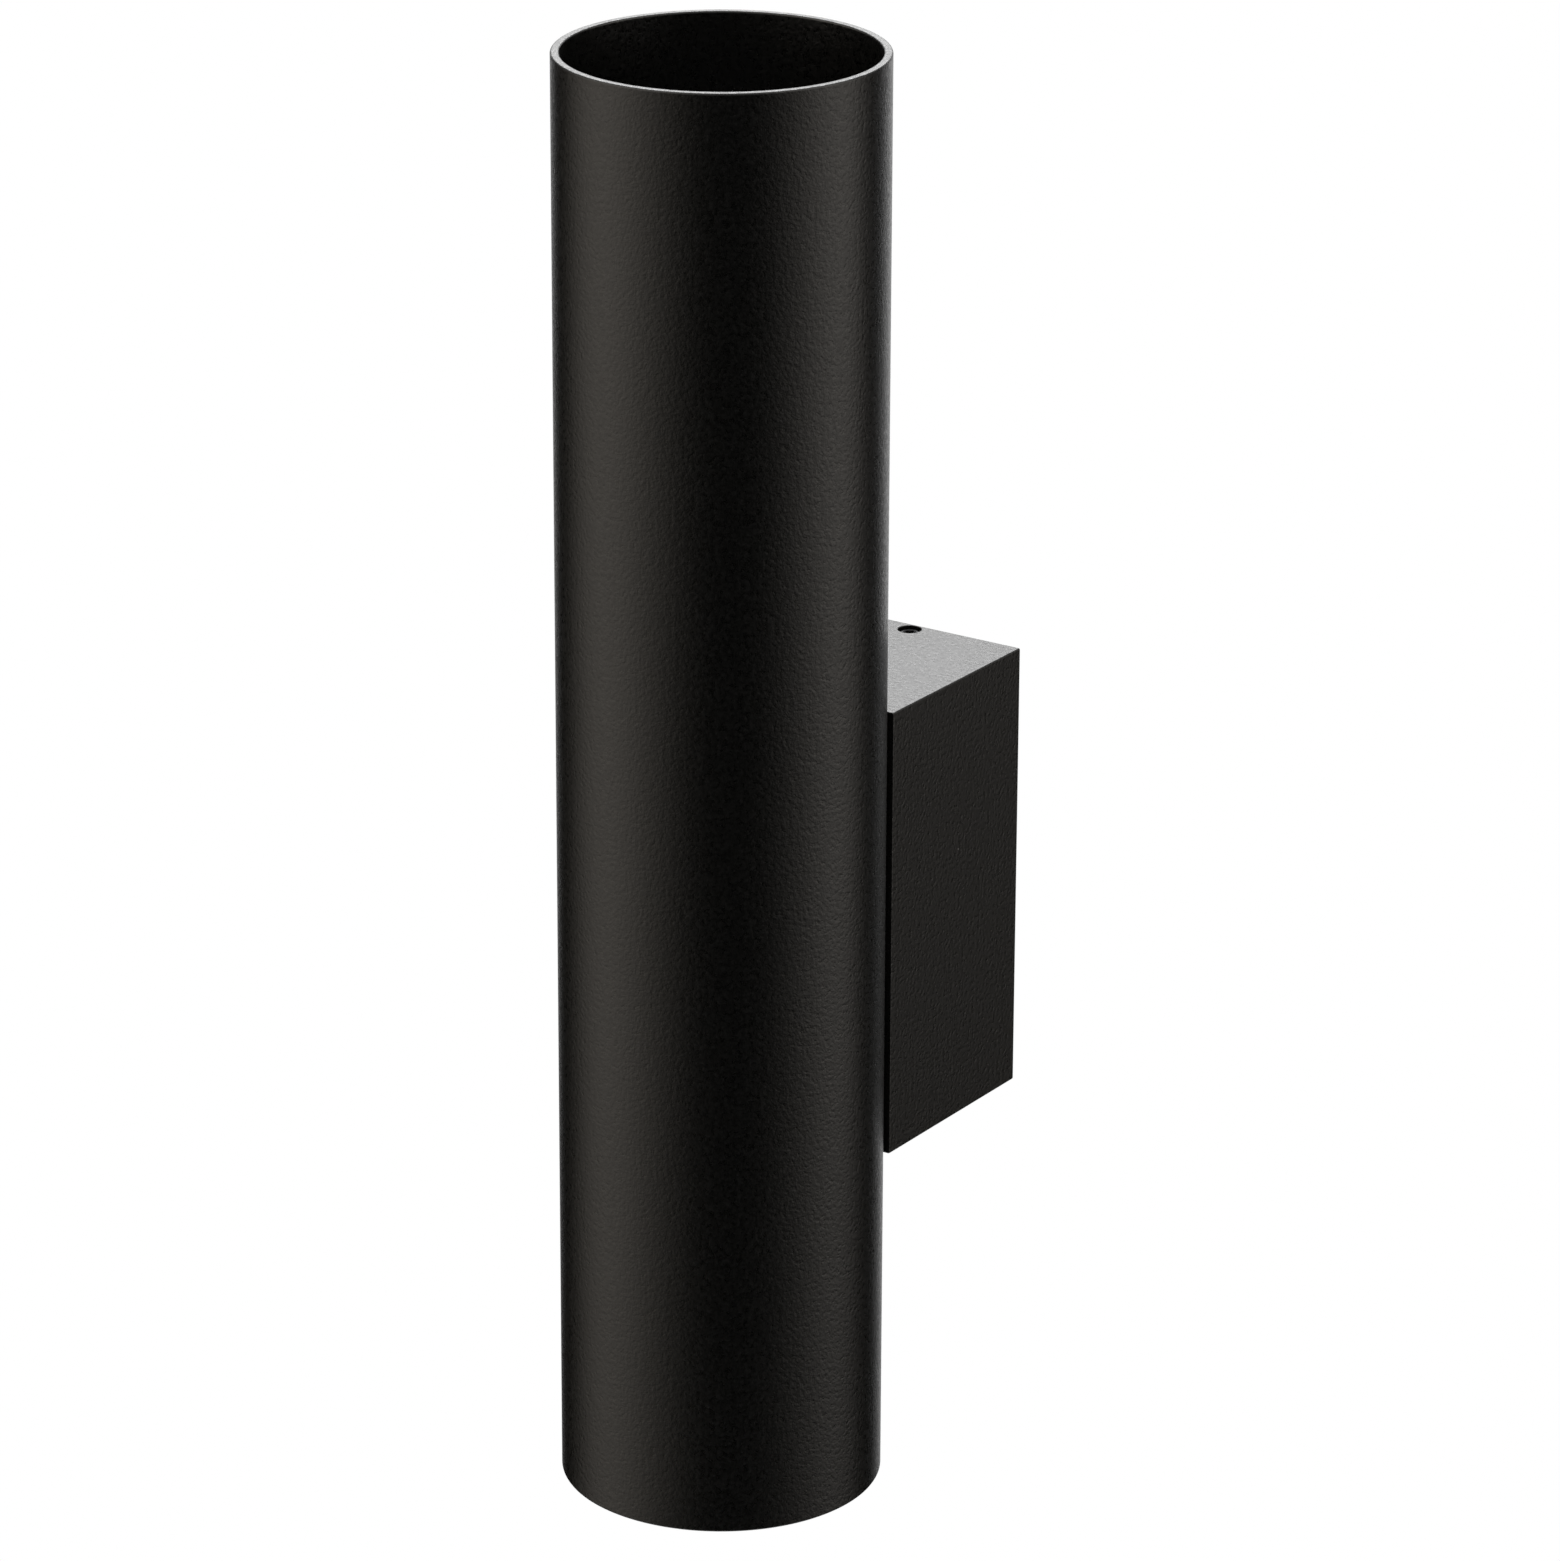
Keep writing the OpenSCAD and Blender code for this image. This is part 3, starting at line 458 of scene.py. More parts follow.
def zinc_plate(name, colour, stretch):
    """Bright zinc on rolled sheet or on turned steel. The eye sees a cool silver with soft clouds of the
    passivation, and fine lines left by the rolls or by the turning tool."""
    material, tree, place = new_material(name)
    # Clouds of the passivation, about 3 mm across
    cloud = add_node(tree, "TexNoise", {"Scale": MM / 3, "Detail": 3.0}, {"Vector": place})
    # Tool and roll lines are finer than a pixel; they are drawn 0.4 mm wide to show
    along = add_node(tree, "Mapping", {"Scale": stretch}, {"Vector": place})
    lines = add_node(tree, "TexNoise", {"Scale": MM / 0.4, "Detail": 2.0}, {"Vector": along})
    mixed = add_node(tree, "Mix", {"data_type": "RGBA", 6: shaded(colour, 0.86), 7: shaded(colour, 1.06)},
                     {0: cloud}, 2)
    normal = add_node(tree, "Bump", {"Strength": 0.6, "Distance": 0.000004}, {"Height": lines})
    return varied(material, tree, mixed, cloud, (0.34, 0.46), normal, {"Metallic": 1.0})


def worked_metal(name, colour, dark, roughness, grain):
    """Blackened, nickel-plated or bare metal. The eye sees one tone with clouds of wear or tarnish, grain
    millimetres across, and a fine tooth."""
    material, tree, place = new_material(name)
    cloud = add_node(tree, "TexNoise", {"Scale": MM / grain, "Detail": 3.0}, {"Vector": place})
    tooth = add_node(tree, "TexNoise", {"Scale": 8 * MM / grain, "Detail": 2.0}, {"Vector": place})
    mixed = add_node(tree, "Mix", {"data_type": "RGBA", 6: shaded(colour, dark), 7: shaded(colour, 1.05)},
                     {0: cloud}, 2)
    normal = add_node(tree, "Bump", {"Strength": 0.5, "Distance": 0.000003}, {"Height": tooth})
    return varied(material, tree, mixed, cloud, (roughness * 0.8, roughness * 1.25), normal, {"Metallic": 1.0})


def moulded(name, colour, roughness, scatter, grain, ior):
    """Moulded plastic and rubber, and pressed ceramic. The eye sees one body colour with slight clouds, a
    little light inside where it is pale, and the grain of the mould, grain millimetres across."""
    material, tree, place = new_material(name)
    cloud = add_node(tree, "TexNoise", {"Scale": MM / (6 * grain), "Detail": 3.0}, {"Vector": place})
    tooth = add_node(tree, "TexNoise", {"Scale": MM / grain, "Detail": 2.0}, {"Vector": place})
    mixed = add_node(tree, "Mix", {"data_type": "RGBA", 6: shaded(colour, 0.94), 7: shaded(colour, 1.02)},
                     {0: cloud}, 2)
    normal = add_node(tree, "Bump", {"Strength": 0.5, "Distance": 0.000008}, {"Height": tooth})
    return varied(material, tree, mixed, tooth, (roughness * 0.9, roughness * 1.1), normal, {
        "IOR": ior, "Subsurface Weight": scatter, "Subsurface Radius": (0.0008, 0.0007, 0.0006),
        "Subsurface Scale": 1.0})


def frosted_lens(colour):
    """Frosted polycarbonate, moulded. The eye sees a milky disc that spreads the light of the chips and
    shows them only as a soft glow."""
    material, tree, place = new_material("frosted_polycarbonate")
    # Frosting is finer than a pixel; it is drawn 0.25 mm wide to show
    frost = add_node(tree, "TexNoise", {"Scale": MM / 0.25, "Detail": 2.0}, {"Vector": place})
    mixed = add_node(tree, "Mix", {"data_type": "RGBA", 6: shaded(colour, 0.94), 7: shaded(colour, 1.04)},
                     {0: frost}, 2)
    normal = add_node(tree, "Bump", {"Strength": 0.6, "Distance": 0.00001}, {"Height": frost})
    return varied(material, tree, mixed, frost, (0.42, 0.55), normal, {
        "IOR": 1.585, "Transmission Weight": 0.35})


def light_board(colour, phosphor):
    """Solder mask printed on an aluminium board. The eye sees a white satin disc, and on it chips whose
    phosphor shows as yellow squares; the attribute chip is 1 on them."""
    material, tree, place = new_material("printed_light_board")
    # Grain of the mask, 0.3 mm
    grain = add_node(tree, "TexNoise", {"Scale": MM / 0.3, "Detail": 2.0}, {"Vector": place})
    mask = add_node(tree, "Mix", {"data_type": "RGBA", 6: shaded(colour, 0.94), 7: shaded(colour, 1.03)},
                    {0: grain}, 2)
    chip = add_node(tree, "Attribute", {"attribute_name": "chip"}, out="Fac")
    mixed = add_node(tree, "Mix", {"data_type": "RGBA", 7: phosphor}, {0: chip, 6: mask}, 2)
    normal = add_node(tree, "Bump", {"Strength": 0.5, "Distance": 0.000004}, {"Height": grain})
    return varied(material, tree, mixed, grain, (0.3, 0.45), normal, {"IOR": 1.5})


def sleeving(name, colour, stripe=None):
    """Silicone, extruded as a sleeve over the strands. The eye sees a dull satin skin with slight clouds;
    the earth's has two stripes along it, laid on the UV map, whose u runs round the lead."""
    material, tree, place = new_material(name)
    # Clouds of the skin, about 1 mm
    cloud = add_node(tree, "TexNoise", {"Scale": MM / 1.1, "Detail": 3.0}, {"Vector": place})
    skin = add_node(tree, "Mix", {"data_type": "RGBA", 6: shaded(colour, 0.8), 7: shaded(colour, 1.15)},
                    {0: cloud}, 2)
    if stripe:
        round_it = add_node(tree, "SeparateXYZ", {}, {0: add_node(tree, "UVMap")})
        twice = add_node(tree, "Math", {"operation": "PINGPONG", 1: 0.25}, {0: round_it})
        inside = add_node(tree, "Math", {"operation": "LESS_THAN", 1: 0.11}, {0: twice})
        skin = add_node(tree, "Mix", {"data_type": "RGBA", 7: stripe}, {0: inside, 6: skin}, 2)
    normal = add_node(tree, "Bump", {"Strength": 0.4, "Distance": 0.00001}, {"Height": cloud})
    return varied(material, tree, skin, cloud, (0.42, 0.55), normal, {"IOR": 1.41})


# Finished materials by the record's slots
MATERIALS = {}


class TUBE_LIGHT_OT_finishes(bpy.types.Operator):
    """Makes the finishes and gives them to the CAD nodes, shown or not, by the record's slots"""

    bl_idname = "tube_light.finishes"
    bl_label = "Finishes"

    def execute(self, context):
        c = context.scene.tube_light_colours
        MATERIALS.update({
            "black_powder_coat": powder_coat(c.coat),
            "zinc_plate": zinc_plate("bright_zinc_sheet", c.zinc_sheet, (1, 0.03, 0.03)),
            "zinc_fastener": zinc_plate("bright_zinc_turned", c.zinc_turned, (0.05, 0.05, 1)),
            "black_oxide_steel": worked_metal("black_oxide_steel", c.oxide, 0.7, 0.48, 0.8),
            "nickel_brass": worked_metal("nickel_plated_brass", c.nickel, 0.85, 0.22, 1.4),
            "bare_brass": worked_metal("drawn_brass", c.brass, 0.7, 0.26, 2),
            "white_nylon": moulded("natural_nylon", c.nylon, 0.42, 0.25, 0.4, 1.53),
            "black_rubber": moulded("moulded_rubber", c.rubber, 0.7, 0.0, 0.4, 1.52),
            "steatite": moulded("unglazed_steatite", c.steatite, 0.62, 0.1, 0.3, 1.6),
            "lamp_shell": moulded("satin_lamp_plastic", c.shell, 0.38, 0.1, 0.4, 1.56),
            "lamp_lens": frosted_lens(c.lens),
            "lamp_board": light_board(c.board, c.phosphor),
            "brown_sleeving": sleeving("brown_silicone", c.brown),
            "blue_sleeving": sleeving("blue_silicone", c.blue),
            "green_yellow_sleeving": sleeving("green_yellow_silicone", c.green, c.yellow),
        })
        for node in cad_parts.values():
            for slot in node.material_slots:
                wanted = (slot.material.name if slot.material else "").split(".")[0]
                if wanted in MATERIALS:
                    slot.material = MATERIALS[wanted]
        return {"FINISHED"}


# Tube, box and the screws that lock it


class TUBE_LIGHT_OT_tube(bpy.types.Operator):
    """The tube: drawn round, cut square and coated, with the hole for the nipple at its back"""

    bl_idname = "tube_light.tube"
    bl_label = "Tube"

    def execute(self, context):
        s = sizes()
        outer, inner = s.tube_diameter / 2, s.tube_diameter / 2 - s.tube_wall
        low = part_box("tube")[0].z * MM
        high = low + s.tube_length
        breaks = (NIPPLE_Z - 8, NIPPLE_Z + 8)
        shell = turned([
            (inner, low, s.rim_round), (outer, low, s.rim_round), *((outer, z) for z in breaks),
            (outer, high, s.rim_round), (inner, high, s.rim_round), *((inner, z) for z in reversed(breaks)),
        ], 256)
        moved(shell, (0, AXIS_Y, 0))
        shell = worked(shell, [along_y(rod(NIPPLE_HOLE_R, 0, outer + OVER), 0, AXIS_Y, NIPPLE_Z)])
        piece("tube_shell", shell, "fixture", "black_powder_coat", "tube")
        return {"FINISHED"}


def hollowed_prism(half_width, front, radius, half_height, corners):
    """A prism hollowed in front along the tube, with its other corners (x, y) listed from left to right."""
    lip_x, lip_y = math.sqrt(radius ** 2 - (front - AXIS_Y) ** 2), front
    if lip_x > half_width:
        lip_x, lip_y = half_width, AXIS_Y + math.sqrt(radius ** 2 - half_width ** 2)
    bm = bmesh.new()
    first = bm.verts.new((lip_x, lip_y, -half_height))
    swept = bmesh.ops.spin(bm, geom=[first], cent=(0, AXIS_Y, -half_height), axis=(0, 0, 1), dvec=(0, 0, 0),
                           angle=2 * math.atan2(lip_x, lip_y - AXIS_Y), steps=56, use_merge=False,
                           use_duplicate=False)
    last = next(g for g in swept["geom_last"] if isinstance(g, bmesh.types.BMVert))
    others = [bm.verts.new((x, y, -half_height)) for x, y in corners]
    for a, b in zip([last, *others], [*others, first]):
        bm.edges.new((a, b))
    return extruded(bm, (0, 0, 2 * half_height))


class TUBE_LIGHT_OT_wall_box(bpy.types.Operator):
    """The box: a prism hollowed along the tube, open at the wall, with a seat round the nipple"""

    bl_idname = "tube_light.wall_box"
    bl_label = "Wall box"

    def execute(self, context):
        s = sizes()
        half_w, half_h, seat = s.box_width / 2, s.box_height / 2, s.tube_diameter / 2 + 0.1

        outside = hollowed_prism(half_w, -s.box_depth, seat, half_h, (
            (-half_w, -s.box_depth), (-half_w, 0), (half_w, 0), (half_w, -s.box_depth)))
        rounded(outside, s.box_edge, 3)

        in_w, in_h = half_w - s.box_wall, half_h - s.box_wall
        corners = ((-in_w, OVER), (in_w, OVER))
        hollow = hollowed_prism(in_w, s.box_wall - s.box_depth, seat + s.box_wall, in_h, corners)
        boss = along_y(rod(9, AXIS_Y, SEAT_Y, 0.3), 0, 0, NIPPLE_Z)
        hollow = worked(hollow, [boss])

        drills = [along_y(rod(NIPPLE_HOLE_R, AXIS_Y, 0), 0, 0, NIPPLE_Z)]
        for turn in (0, 180):
            deep = half_h - 2 * s.box_wall
            drill = turned([(0, deep), (2.05, deep), (2.05, half_h - 0.1), (2.18, half_h + 0.03),
                            (2.18, half_h + OVER), (0, half_h + OVER)], 64)
            drills.append(moved(drill, (0, LOCK_Y, 0), (turn, 0, 0)))
        shell = worked(outside, [hollow, *drills])
        piece("box_shell", shell, "fixture", "black_powder_coat", "wall_box")
        return {"FINISHED"}


class TUBE_LIGHT_OT_lock_screws(bpy.types.Operator):
    """Socket set screws with a cone tip: chamfered, threaded, with a hexagon socket"""

    bl_idname = "tube_light.lock_screws"
    bl_label = "Lock screws"

    def execute(self, context):
        tip_z, top, socket_deep = 36.6, 39.5, 1.6
        corner = 1 / math.cos(math.pi / 6)
        for name, turn in (("upper", 0), ("lower", 180)):
            shape = turned([(0, tip_z), (1.2, tip_z), *thread(2.0, tip_z + 0.5, top - 0.55, 0.6, 0.22),
                            (2.0, top - 0.5), (1.55, top - 0.05, 0.05), (0, top - 0.05)], 64)
            socket = bmesh.new()
            bmesh.ops.create_cone(socket, cap_ends=True, segments=6, radius1=corner, radius2=corner,
                                  depth=socket_deep + OVER)
            moved(socket, (0, 0, top - socket_deep + (socket_deep + OVER) / 2))
            mouth = turned([(0, top - 0.15), (1.1, top - 0.15), (1.23, top - 0.02), (1.23, top + OVER),
                            (0, top + OVER)], 48)
            shape = moved(worked(shape, [socket, mouth]), (0, LOCK_Y, 0), (turn, 0, 0))
            piece(name + "_lock_screw_turned", shape, name + "_lock", "black_oxide_steel",
                  name + "_lock_screw")
        return {"FINISHED"}


# What stays on the wall


class TUBE_LIGHT_OT_mounting_plate(bpy.types.Operator):
    """The folded plate with its holes and collar, and the rubber bush for the supply cable"""

    bl_idname = "tube_light.mounting_plate"
    bl_label = "Mounting plate"

    def execute(self, context):
        s = sizes()
        half_w, half_h, sheet, fold = 18.4, 36.6, SHEET, 8.0
        plate = folded([
            (0, half_h, 1.2), (-fold, half_h, 0.2), (-fold, half_h - sheet, 0.2),
            (-sheet, half_h - sheet, 0.3), (-sheet, sheet - half_h, 0.3),
            (-fold, sheet - half_h, 0.2), (-fold, -half_h, 0.2), (0, -half_h, 1.2),
        ], -half_w, half_w)
        rounded(plate, s.plate_edge, 2, sheet_edges(half_w))
        collar = along_y(turned([(0, 1), (3.4, 1), (3.4, 2.9, 0.3), (0, 2.9)], 48))
        moved(collar, (EARTH_X, -0.1, EARTH_Z), (180, 0, 0))
        plate = worked(plate, [collar], "UNION")
        holes = ((0, 25, 2.5), (0, -25, 2.5), (0, CABLE_Z, 5.1), (EARTH_X, EARTH_Z, 2.05),
                 *((x, BLOCK_Z, 1.55) for x in FIXING_XS))
        plate = worked(plate, [along_y(mouthed_drill(r, 6, 0.15, 48), x, 0, z) for x, z, r in holes])
        piece("folded_plate", plate, "wall_side", "zinc_plate", "mounting_plate")

        bush = turned([(4, 0, 0.4), (5, 0, 0.2), (5, -1.5), (7, -1.5, 0.3), (7, -2.7, 0.5),
                       (4, -2.7, 0.5)], 72)
        piece("moulded_bush", along_y(bush, 0, 0, CABLE_Z), "wall_side", "black_rubber", "cable_bush")
        return {"FINISHED"}


class TUBE_LIGHT_OT_terminals(bpy.types.Operator):
    """Terminal block with clamps and screws, ferrules, and the plate's earth screw with its tag"""

    bl_idname = "tube_light.terminals"
    bl_label = "Terminals"

    def execute(self, context):
        s = sizes()
        body = block((-14.5, BLOCK_FRONT, BLOCK_LOW), (14.5, -1.5, BLOCK_HIGH), s.moulded_edge, 3)
        out_y = BLOCK_FRONT - OVER
        tools = []
        for x in POLES:
            tools.append(block((x - 2.8, CLAMP_Y - 2.8, BLOCK_Z - 6.6),
                               (x + 2.8, CLAMP_Y + 2.8, BLOCK_Z + 6.6)))
            for face, turn in ((BLOCK_LOW, 180), (BLOCK_HIGH, 0)):
                tools.append(moved(mouthed_drill(2.3, 3, 0.5), (x, CLAMP_Y, face), (turn, 0, 0)))
            for end in SCREW_ENDS:
                drill = mouthed_drill(2.1, CLAMP_Y - BLOCK_FRONT, 0.3)
                tools.append(moved(drill, (x, BLOCK_FRONT, BLOCK_Z + end), (90, 0, 0)))
        for x in FIXING_XS:
            drill = turned([(0, out_y), (2.7, out_y), (2.7, BLOCK_FRONT), (2.4, BLOCK_FRONT + 0.3),
                            (2.4, -10.5), (1.6, -10.5), (1.6, 0), (0, 0)], 40)
            tools.append(along_y(drill, x, 0, BLOCK_Z))
        # Grooves between the poles, where the block can be cut
        for x in FIXING_XS:
            for face in (BLOCK_LOW, BLOCK_HIGH):
                tools.append(block((x - 0.4, out_y, face - 0.6), (x + 0.4, 0, face + 0.6)))
        piece("moulded_block", worked(body, tools), "wall_side", "white_nylon", "terminal_block")

        clamps = []
        for x in POLES:
            clamp = block((x - 2.7, CLAMP_Y - 2.7, BLOCK_Z - 6.5), (x + 2.7, CLAMP_Y + 2.7, BLOCK_Z + 6.5),
                          0.3, 2)
            bores = [along_y(rod(1.55, -12, CLAMP_Y), x, 0, BLOCK_Z + end) for end in SCREW_ENDS]
            clamps.append(worked(clamp, [moved(rod(1.7, -2, BLOCK_HIGH), (x, CLAMP_Y, 0)), *bores]))
        piece("brass_clamps", together(*clamps), "wall_side", "bare_brass", "terminal_clamps")

        screws = [moved(slotted_screw(1.5, 4.4, 1.9, 1.6, 0.5), (x, -12.0, BLOCK_Z + end), (90, 15 * i, 0))
                  for i, (x, end) in enumerate((x, end) for x in POLES for end in SCREW_ENDS)]
        piece("clamp_screws", together(*screws), "wall_side", "nickel_brass", "terminal_screws")
        fixing = [moved(slotted_screw(1.5, 10.4, 2.3, 2.0, 0.5), (x, -10.5, BLOCK_Z), (90, 0, 0))
                  for x in FIXING_XS]
        piece("block_screws", together(*fixing), "wall_side", "zinc_fastener", "terminal_fixing_screws")

        ferrules = []
        # Two leads share a wide, flat ferrule
        for x, half, face, turn in ((-10, 2.3, BLOCK_HIGH, 0), (0, 1.0, BLOCK_HIGH, 0),
                                    (10, 2.3, BLOCK_HIGH, 0), (0, 1.0, BLOCK_LOW, 180)):
            mouth = block((-half, -1.0, 0), (half, 1.0, 4))
            rounded(mouth, 0.98, 6, lambda e: abs(e.verts[0].co.z - e.verts[1].co.z) > 3)
            rounded(mouth, 0.12, 2)
            tail = turned([(0, -6), (1.0, -6, 0.2), (1.0, 0.5), (0, 0.5)], 32)
            ferrules.append(moved(worked(mouth, [tail], "UNION"), (x, CLAMP_Y, face), (turn, 0, 0)))
        piece("crimped_ferrules", together(*ferrules), "wall_side", "nickel_brass", "lead_ferrules")

        earth = moved(slotted_screw(2.0, 3.7, 3.5, 2.4, 0.7), (EARTH_X, -3.8, EARTH_Z), (90, 40, 0))
        piece("earth_screw", earth, "wall_side", "bare_brass", "plate_earth_screw")
        eye = along_y(ring(2.1, 3.6, -3.8, -3.0, 0.15, 48), EARTH_X, 0, EARTH_Z)
        # The leg lies inside the eye's faces, so that the two join cleanly
        leg = block((EARTH_X - 1.5, -3.79, -22.2), (EARTH_X + 1.5, -3.01, -18.89), 0.15)
        crimp = moved(turned([(0, -19.69), (1.3, -19.69, 0.3), (1.3, -14.89, 0.3), (0, -14.89)], 32),
                      (EARTH_X, -4.3, 0))
        tag = worked(eye, [leg, crimp], "UNION")
        piece("earth_tag", tag, "wall_side", "nickel_brass", "plate_earth_tag")
        return {"FINISHED"}


# What joins the box to the tube


class TUBE_LIGHT_OT_nipple(bpy.types.Operator):
    """Hollow nipple with nuts, toothed washers, earth tag and the bushes at its two mouths"""

    bl_idname = "tube_light.nipple"
    bl_label = "Hollow nipple"

    def execute(self, context):
        tube_end, box_end = -41.461, -24.0
        ridges = thread(5.0, tube_end + 0.3, box_end - 0.3, 1.0, 0.3)
        nipple = turned([(3.9, tube_end, 0.1), (4.7, tube_end), *ridges, (4.7, box_end),
                         (3.9, box_end, 0.1)], 72)
        piece("threaded_nipple", along_y(nipple, 0, 0, NIPPLE_Z), "fixture", "zinc_fastener", "hollow_nipple")

        nuts = []
        for low in (-40.661, -27.8):
            nut = worked(hexagon(14, low, low + 3), [rod(5.05, low - OVER, low + 3 + OVER)])
            nuts.append(along_y(nut, 0, 0, NIPPLE_Z))
        piece("turned_nuts", together(*nuts), "fixture", "zinc_fastener", "nipple_nuts")

        washers = []
        for low in (-37.661, SEAT_Y):
            flat = ring(5.1, 7.0, low + 0.15, low + 0.65, 0.08)
            teeth = []
            for i in range(12):
                tooth = block((6.4, -1.05, -0.2), (7.93, 1.05, 0.2), 0.08)
                moved(tooth, (0, 0, low + 0.4), (9, 0, 0))
                teeth.append(moved(tooth, (0, 0, 0), (0, 0, 30 * i + 15)))
            washers.append(along_y(worked(flat, teeth, "UNION"), 0, 0, NIPPLE_Z))
        piece("lock_washers", together(*washers), "fixture", "zinc_fastener", "toothed_washers")

        leg_z = NIPPLE_Z + 9.6
        eye = along_y(ring(5.1, 7.1, -28.6, -27.8, 0.15), 0, 0, NIPPLE_Z)
        leg = folded([(-28.6, NIPPLE_Z + 6.6), (-28.6, leg_z, 0.9), (-25.0, leg_z), (-25.0, leg_z - 0.8),
                      (-27.8, leg_z - 0.8, 0.15), (-27.8, NIPPLE_Z + 6.6)], -1.5, 1.5)
        crimp = along_y(rod(1.3, -25.8, -21.0, 0.3, 32), 0, 0, leg_z)
        tag = worked(eye, [leg, crimp], "UNION")
        piece("nipple_tag", tag, "fixture", "nickel_brass", "nipple_earth_tag")

        bushes = []
        for face, turn in ((box_end, -90), (tube_end, 90)):
            bush = turned([(3.35, -4, 0.1), (3.85, -4, 0.1), (3.85, 0), (5, 0, 0.2), (5, 1, 0.4),
                           (3.35, 1, 0.4)], 64)
            bushes.append(moved(bush, (0, face, NIPPLE_Z), (turn, 0, 0)))
        piece("mouth_bushes", together(*bushes), "fixture", "white_nylon", "lead_bushes")
        return {"FINISHED"}


# Strap and lampholders


class TUBE_LIGHT_OT_strap(bpy.types.Operator):
    """The strap with its two round feet, folded from one sheet"""

    bl_idname = "tube_light.strap"
    bl_label = "Lamp strap"

    def execute(self, context):
        s = sizes()
        half_w, sheet, reach = 8.0, SHEET, HOLDER_BACK
        back, low, high = STRAP_Y + sheet, STRAP_Z - reach, STRAP_Z + reach
        strap = folded([
            (back, low, 1.8), (back, high, 1.8), (AXIS_Y, high), (AXIS_Y, high - sheet),
            (STRAP_Y, high - sheet, 0.4), (STRAP_Y, low + sheet, 0.4), (AXIS_Y, low + sheet), (AXIS_Y, low),
        ], -half_w, half_w)
        rounded(strap, s.plate_edge, 2, sheet_edges(half_w))
        feet = [moved(rod(14, z, z + sheet, s.plate_edge, 96), (0, AXIS_Y, 0)) for z in (low, high - sheet)]
        strap = worked(strap, feet, "UNION")
        drills = [along_y(rod(NIPPLE_HOLE_R, AXIS_Y, 0), 0, 0, NIPPLE_Z)]
        for x, y, r in ((PIN_SHIFT, 0, 2.5), (-PIN_SHIFT, 0, 2.5),
                        (0, HOLDER_SCREW_SHIFT, 1.6), (0, -HOLDER_SCREW_SHIFT, 1.6)):
            drills.append(moved(rod(r, low - OVER, high + OVER, 0, 40), (x, AXIS_Y + y, 0)))
        piece("folded_strap", worked(strap, drills), "fixture", "zinc_plate", "lampholder_bracket")
        return {"FINISHED"}


def keyway(half_width, low, high, start, end):
    """A cutter along the pins' circle between two angles, with round ends."""
    bm = bmesh.new()
    chain(bm, [(PIN_SHIFT - half_width, low), (PIN_SHIFT + half_width, low), (PIN_SHIFT + half_width, high),
               (PIN_SHIFT - half_width, high)], lambda r, h: (r, 0, h))
    bmesh.ops.contextual_create(bm, geom=bm.edges[:])
    moved(bm, turn=(0, 0, start))
    bmesh.ops.spin(bm, geom=bm.faces[:], cent=(0, 0, 0), axis=(0, 0, 1), dvec=(0, 0, 0),
                   angle=math.radians(end - start), steps=12, use_merge=False, use_duplicate=False)
    tidy_shape(bm)
    ends = [moved(rod(half_width, low, high), (PIN_SHIFT, 0, 0)) for _ in range(2)]
    return worked(bm, [moved(e, turn=(0, 0, a)) for e, a in zip(ends, (start, end))], "UNION")


def lampholder():
    """Pressed steatite body: keyholes that lock the pins by a turn, wells for its screws."""
    floor = HOLDER_FACE - 8.0
    body = turned([(0, HOLDER_BACK), (14, HOLDER_BACK, 0.5), (14, HOLDER_FACE, 0.8), (0, HOLDER_FACE)], 96)
    slab = block((-20, -12, HOLDER_BACK - OVER), (20, 12, HOLDER_FACE + OVER))
    body = worked(body, [slab], "INTERSECT")
    tools = []
    for side in (0, 180):
        for tool in (
            keyway(1.8, floor + 1, HOLDER_FACE + OVER, 0, 30),
            keyway(2.8, floor, HOLDER_FACE - 2.5, 0, 30),
            moved(moved(rod(2.7, floor + 1, HOLDER_FACE + OVER), (PIN_SHIFT, 0, 0)), turn=(0, 0, 30)),
            moved(rod(1.3, HOLDER_BACK - OVER, floor + OVER, 0, 32), (PIN_SHIFT, 0, 0)),
            moved(rod(1.6, HOLDER_BACK - OVER, HOLDER_FACE + OVER, 0, 32), (0, HOLDER_SCREW_SHIFT, 0)),
            moved(mouthed_drill(2.9, 3, 0.3), (0, HOLDER_SCREW_SHIFT, HOLDER_FACE)),
        ):
            tools.append(moved(tool, turn=(0, 0, side)))
    return worked(body, tools)


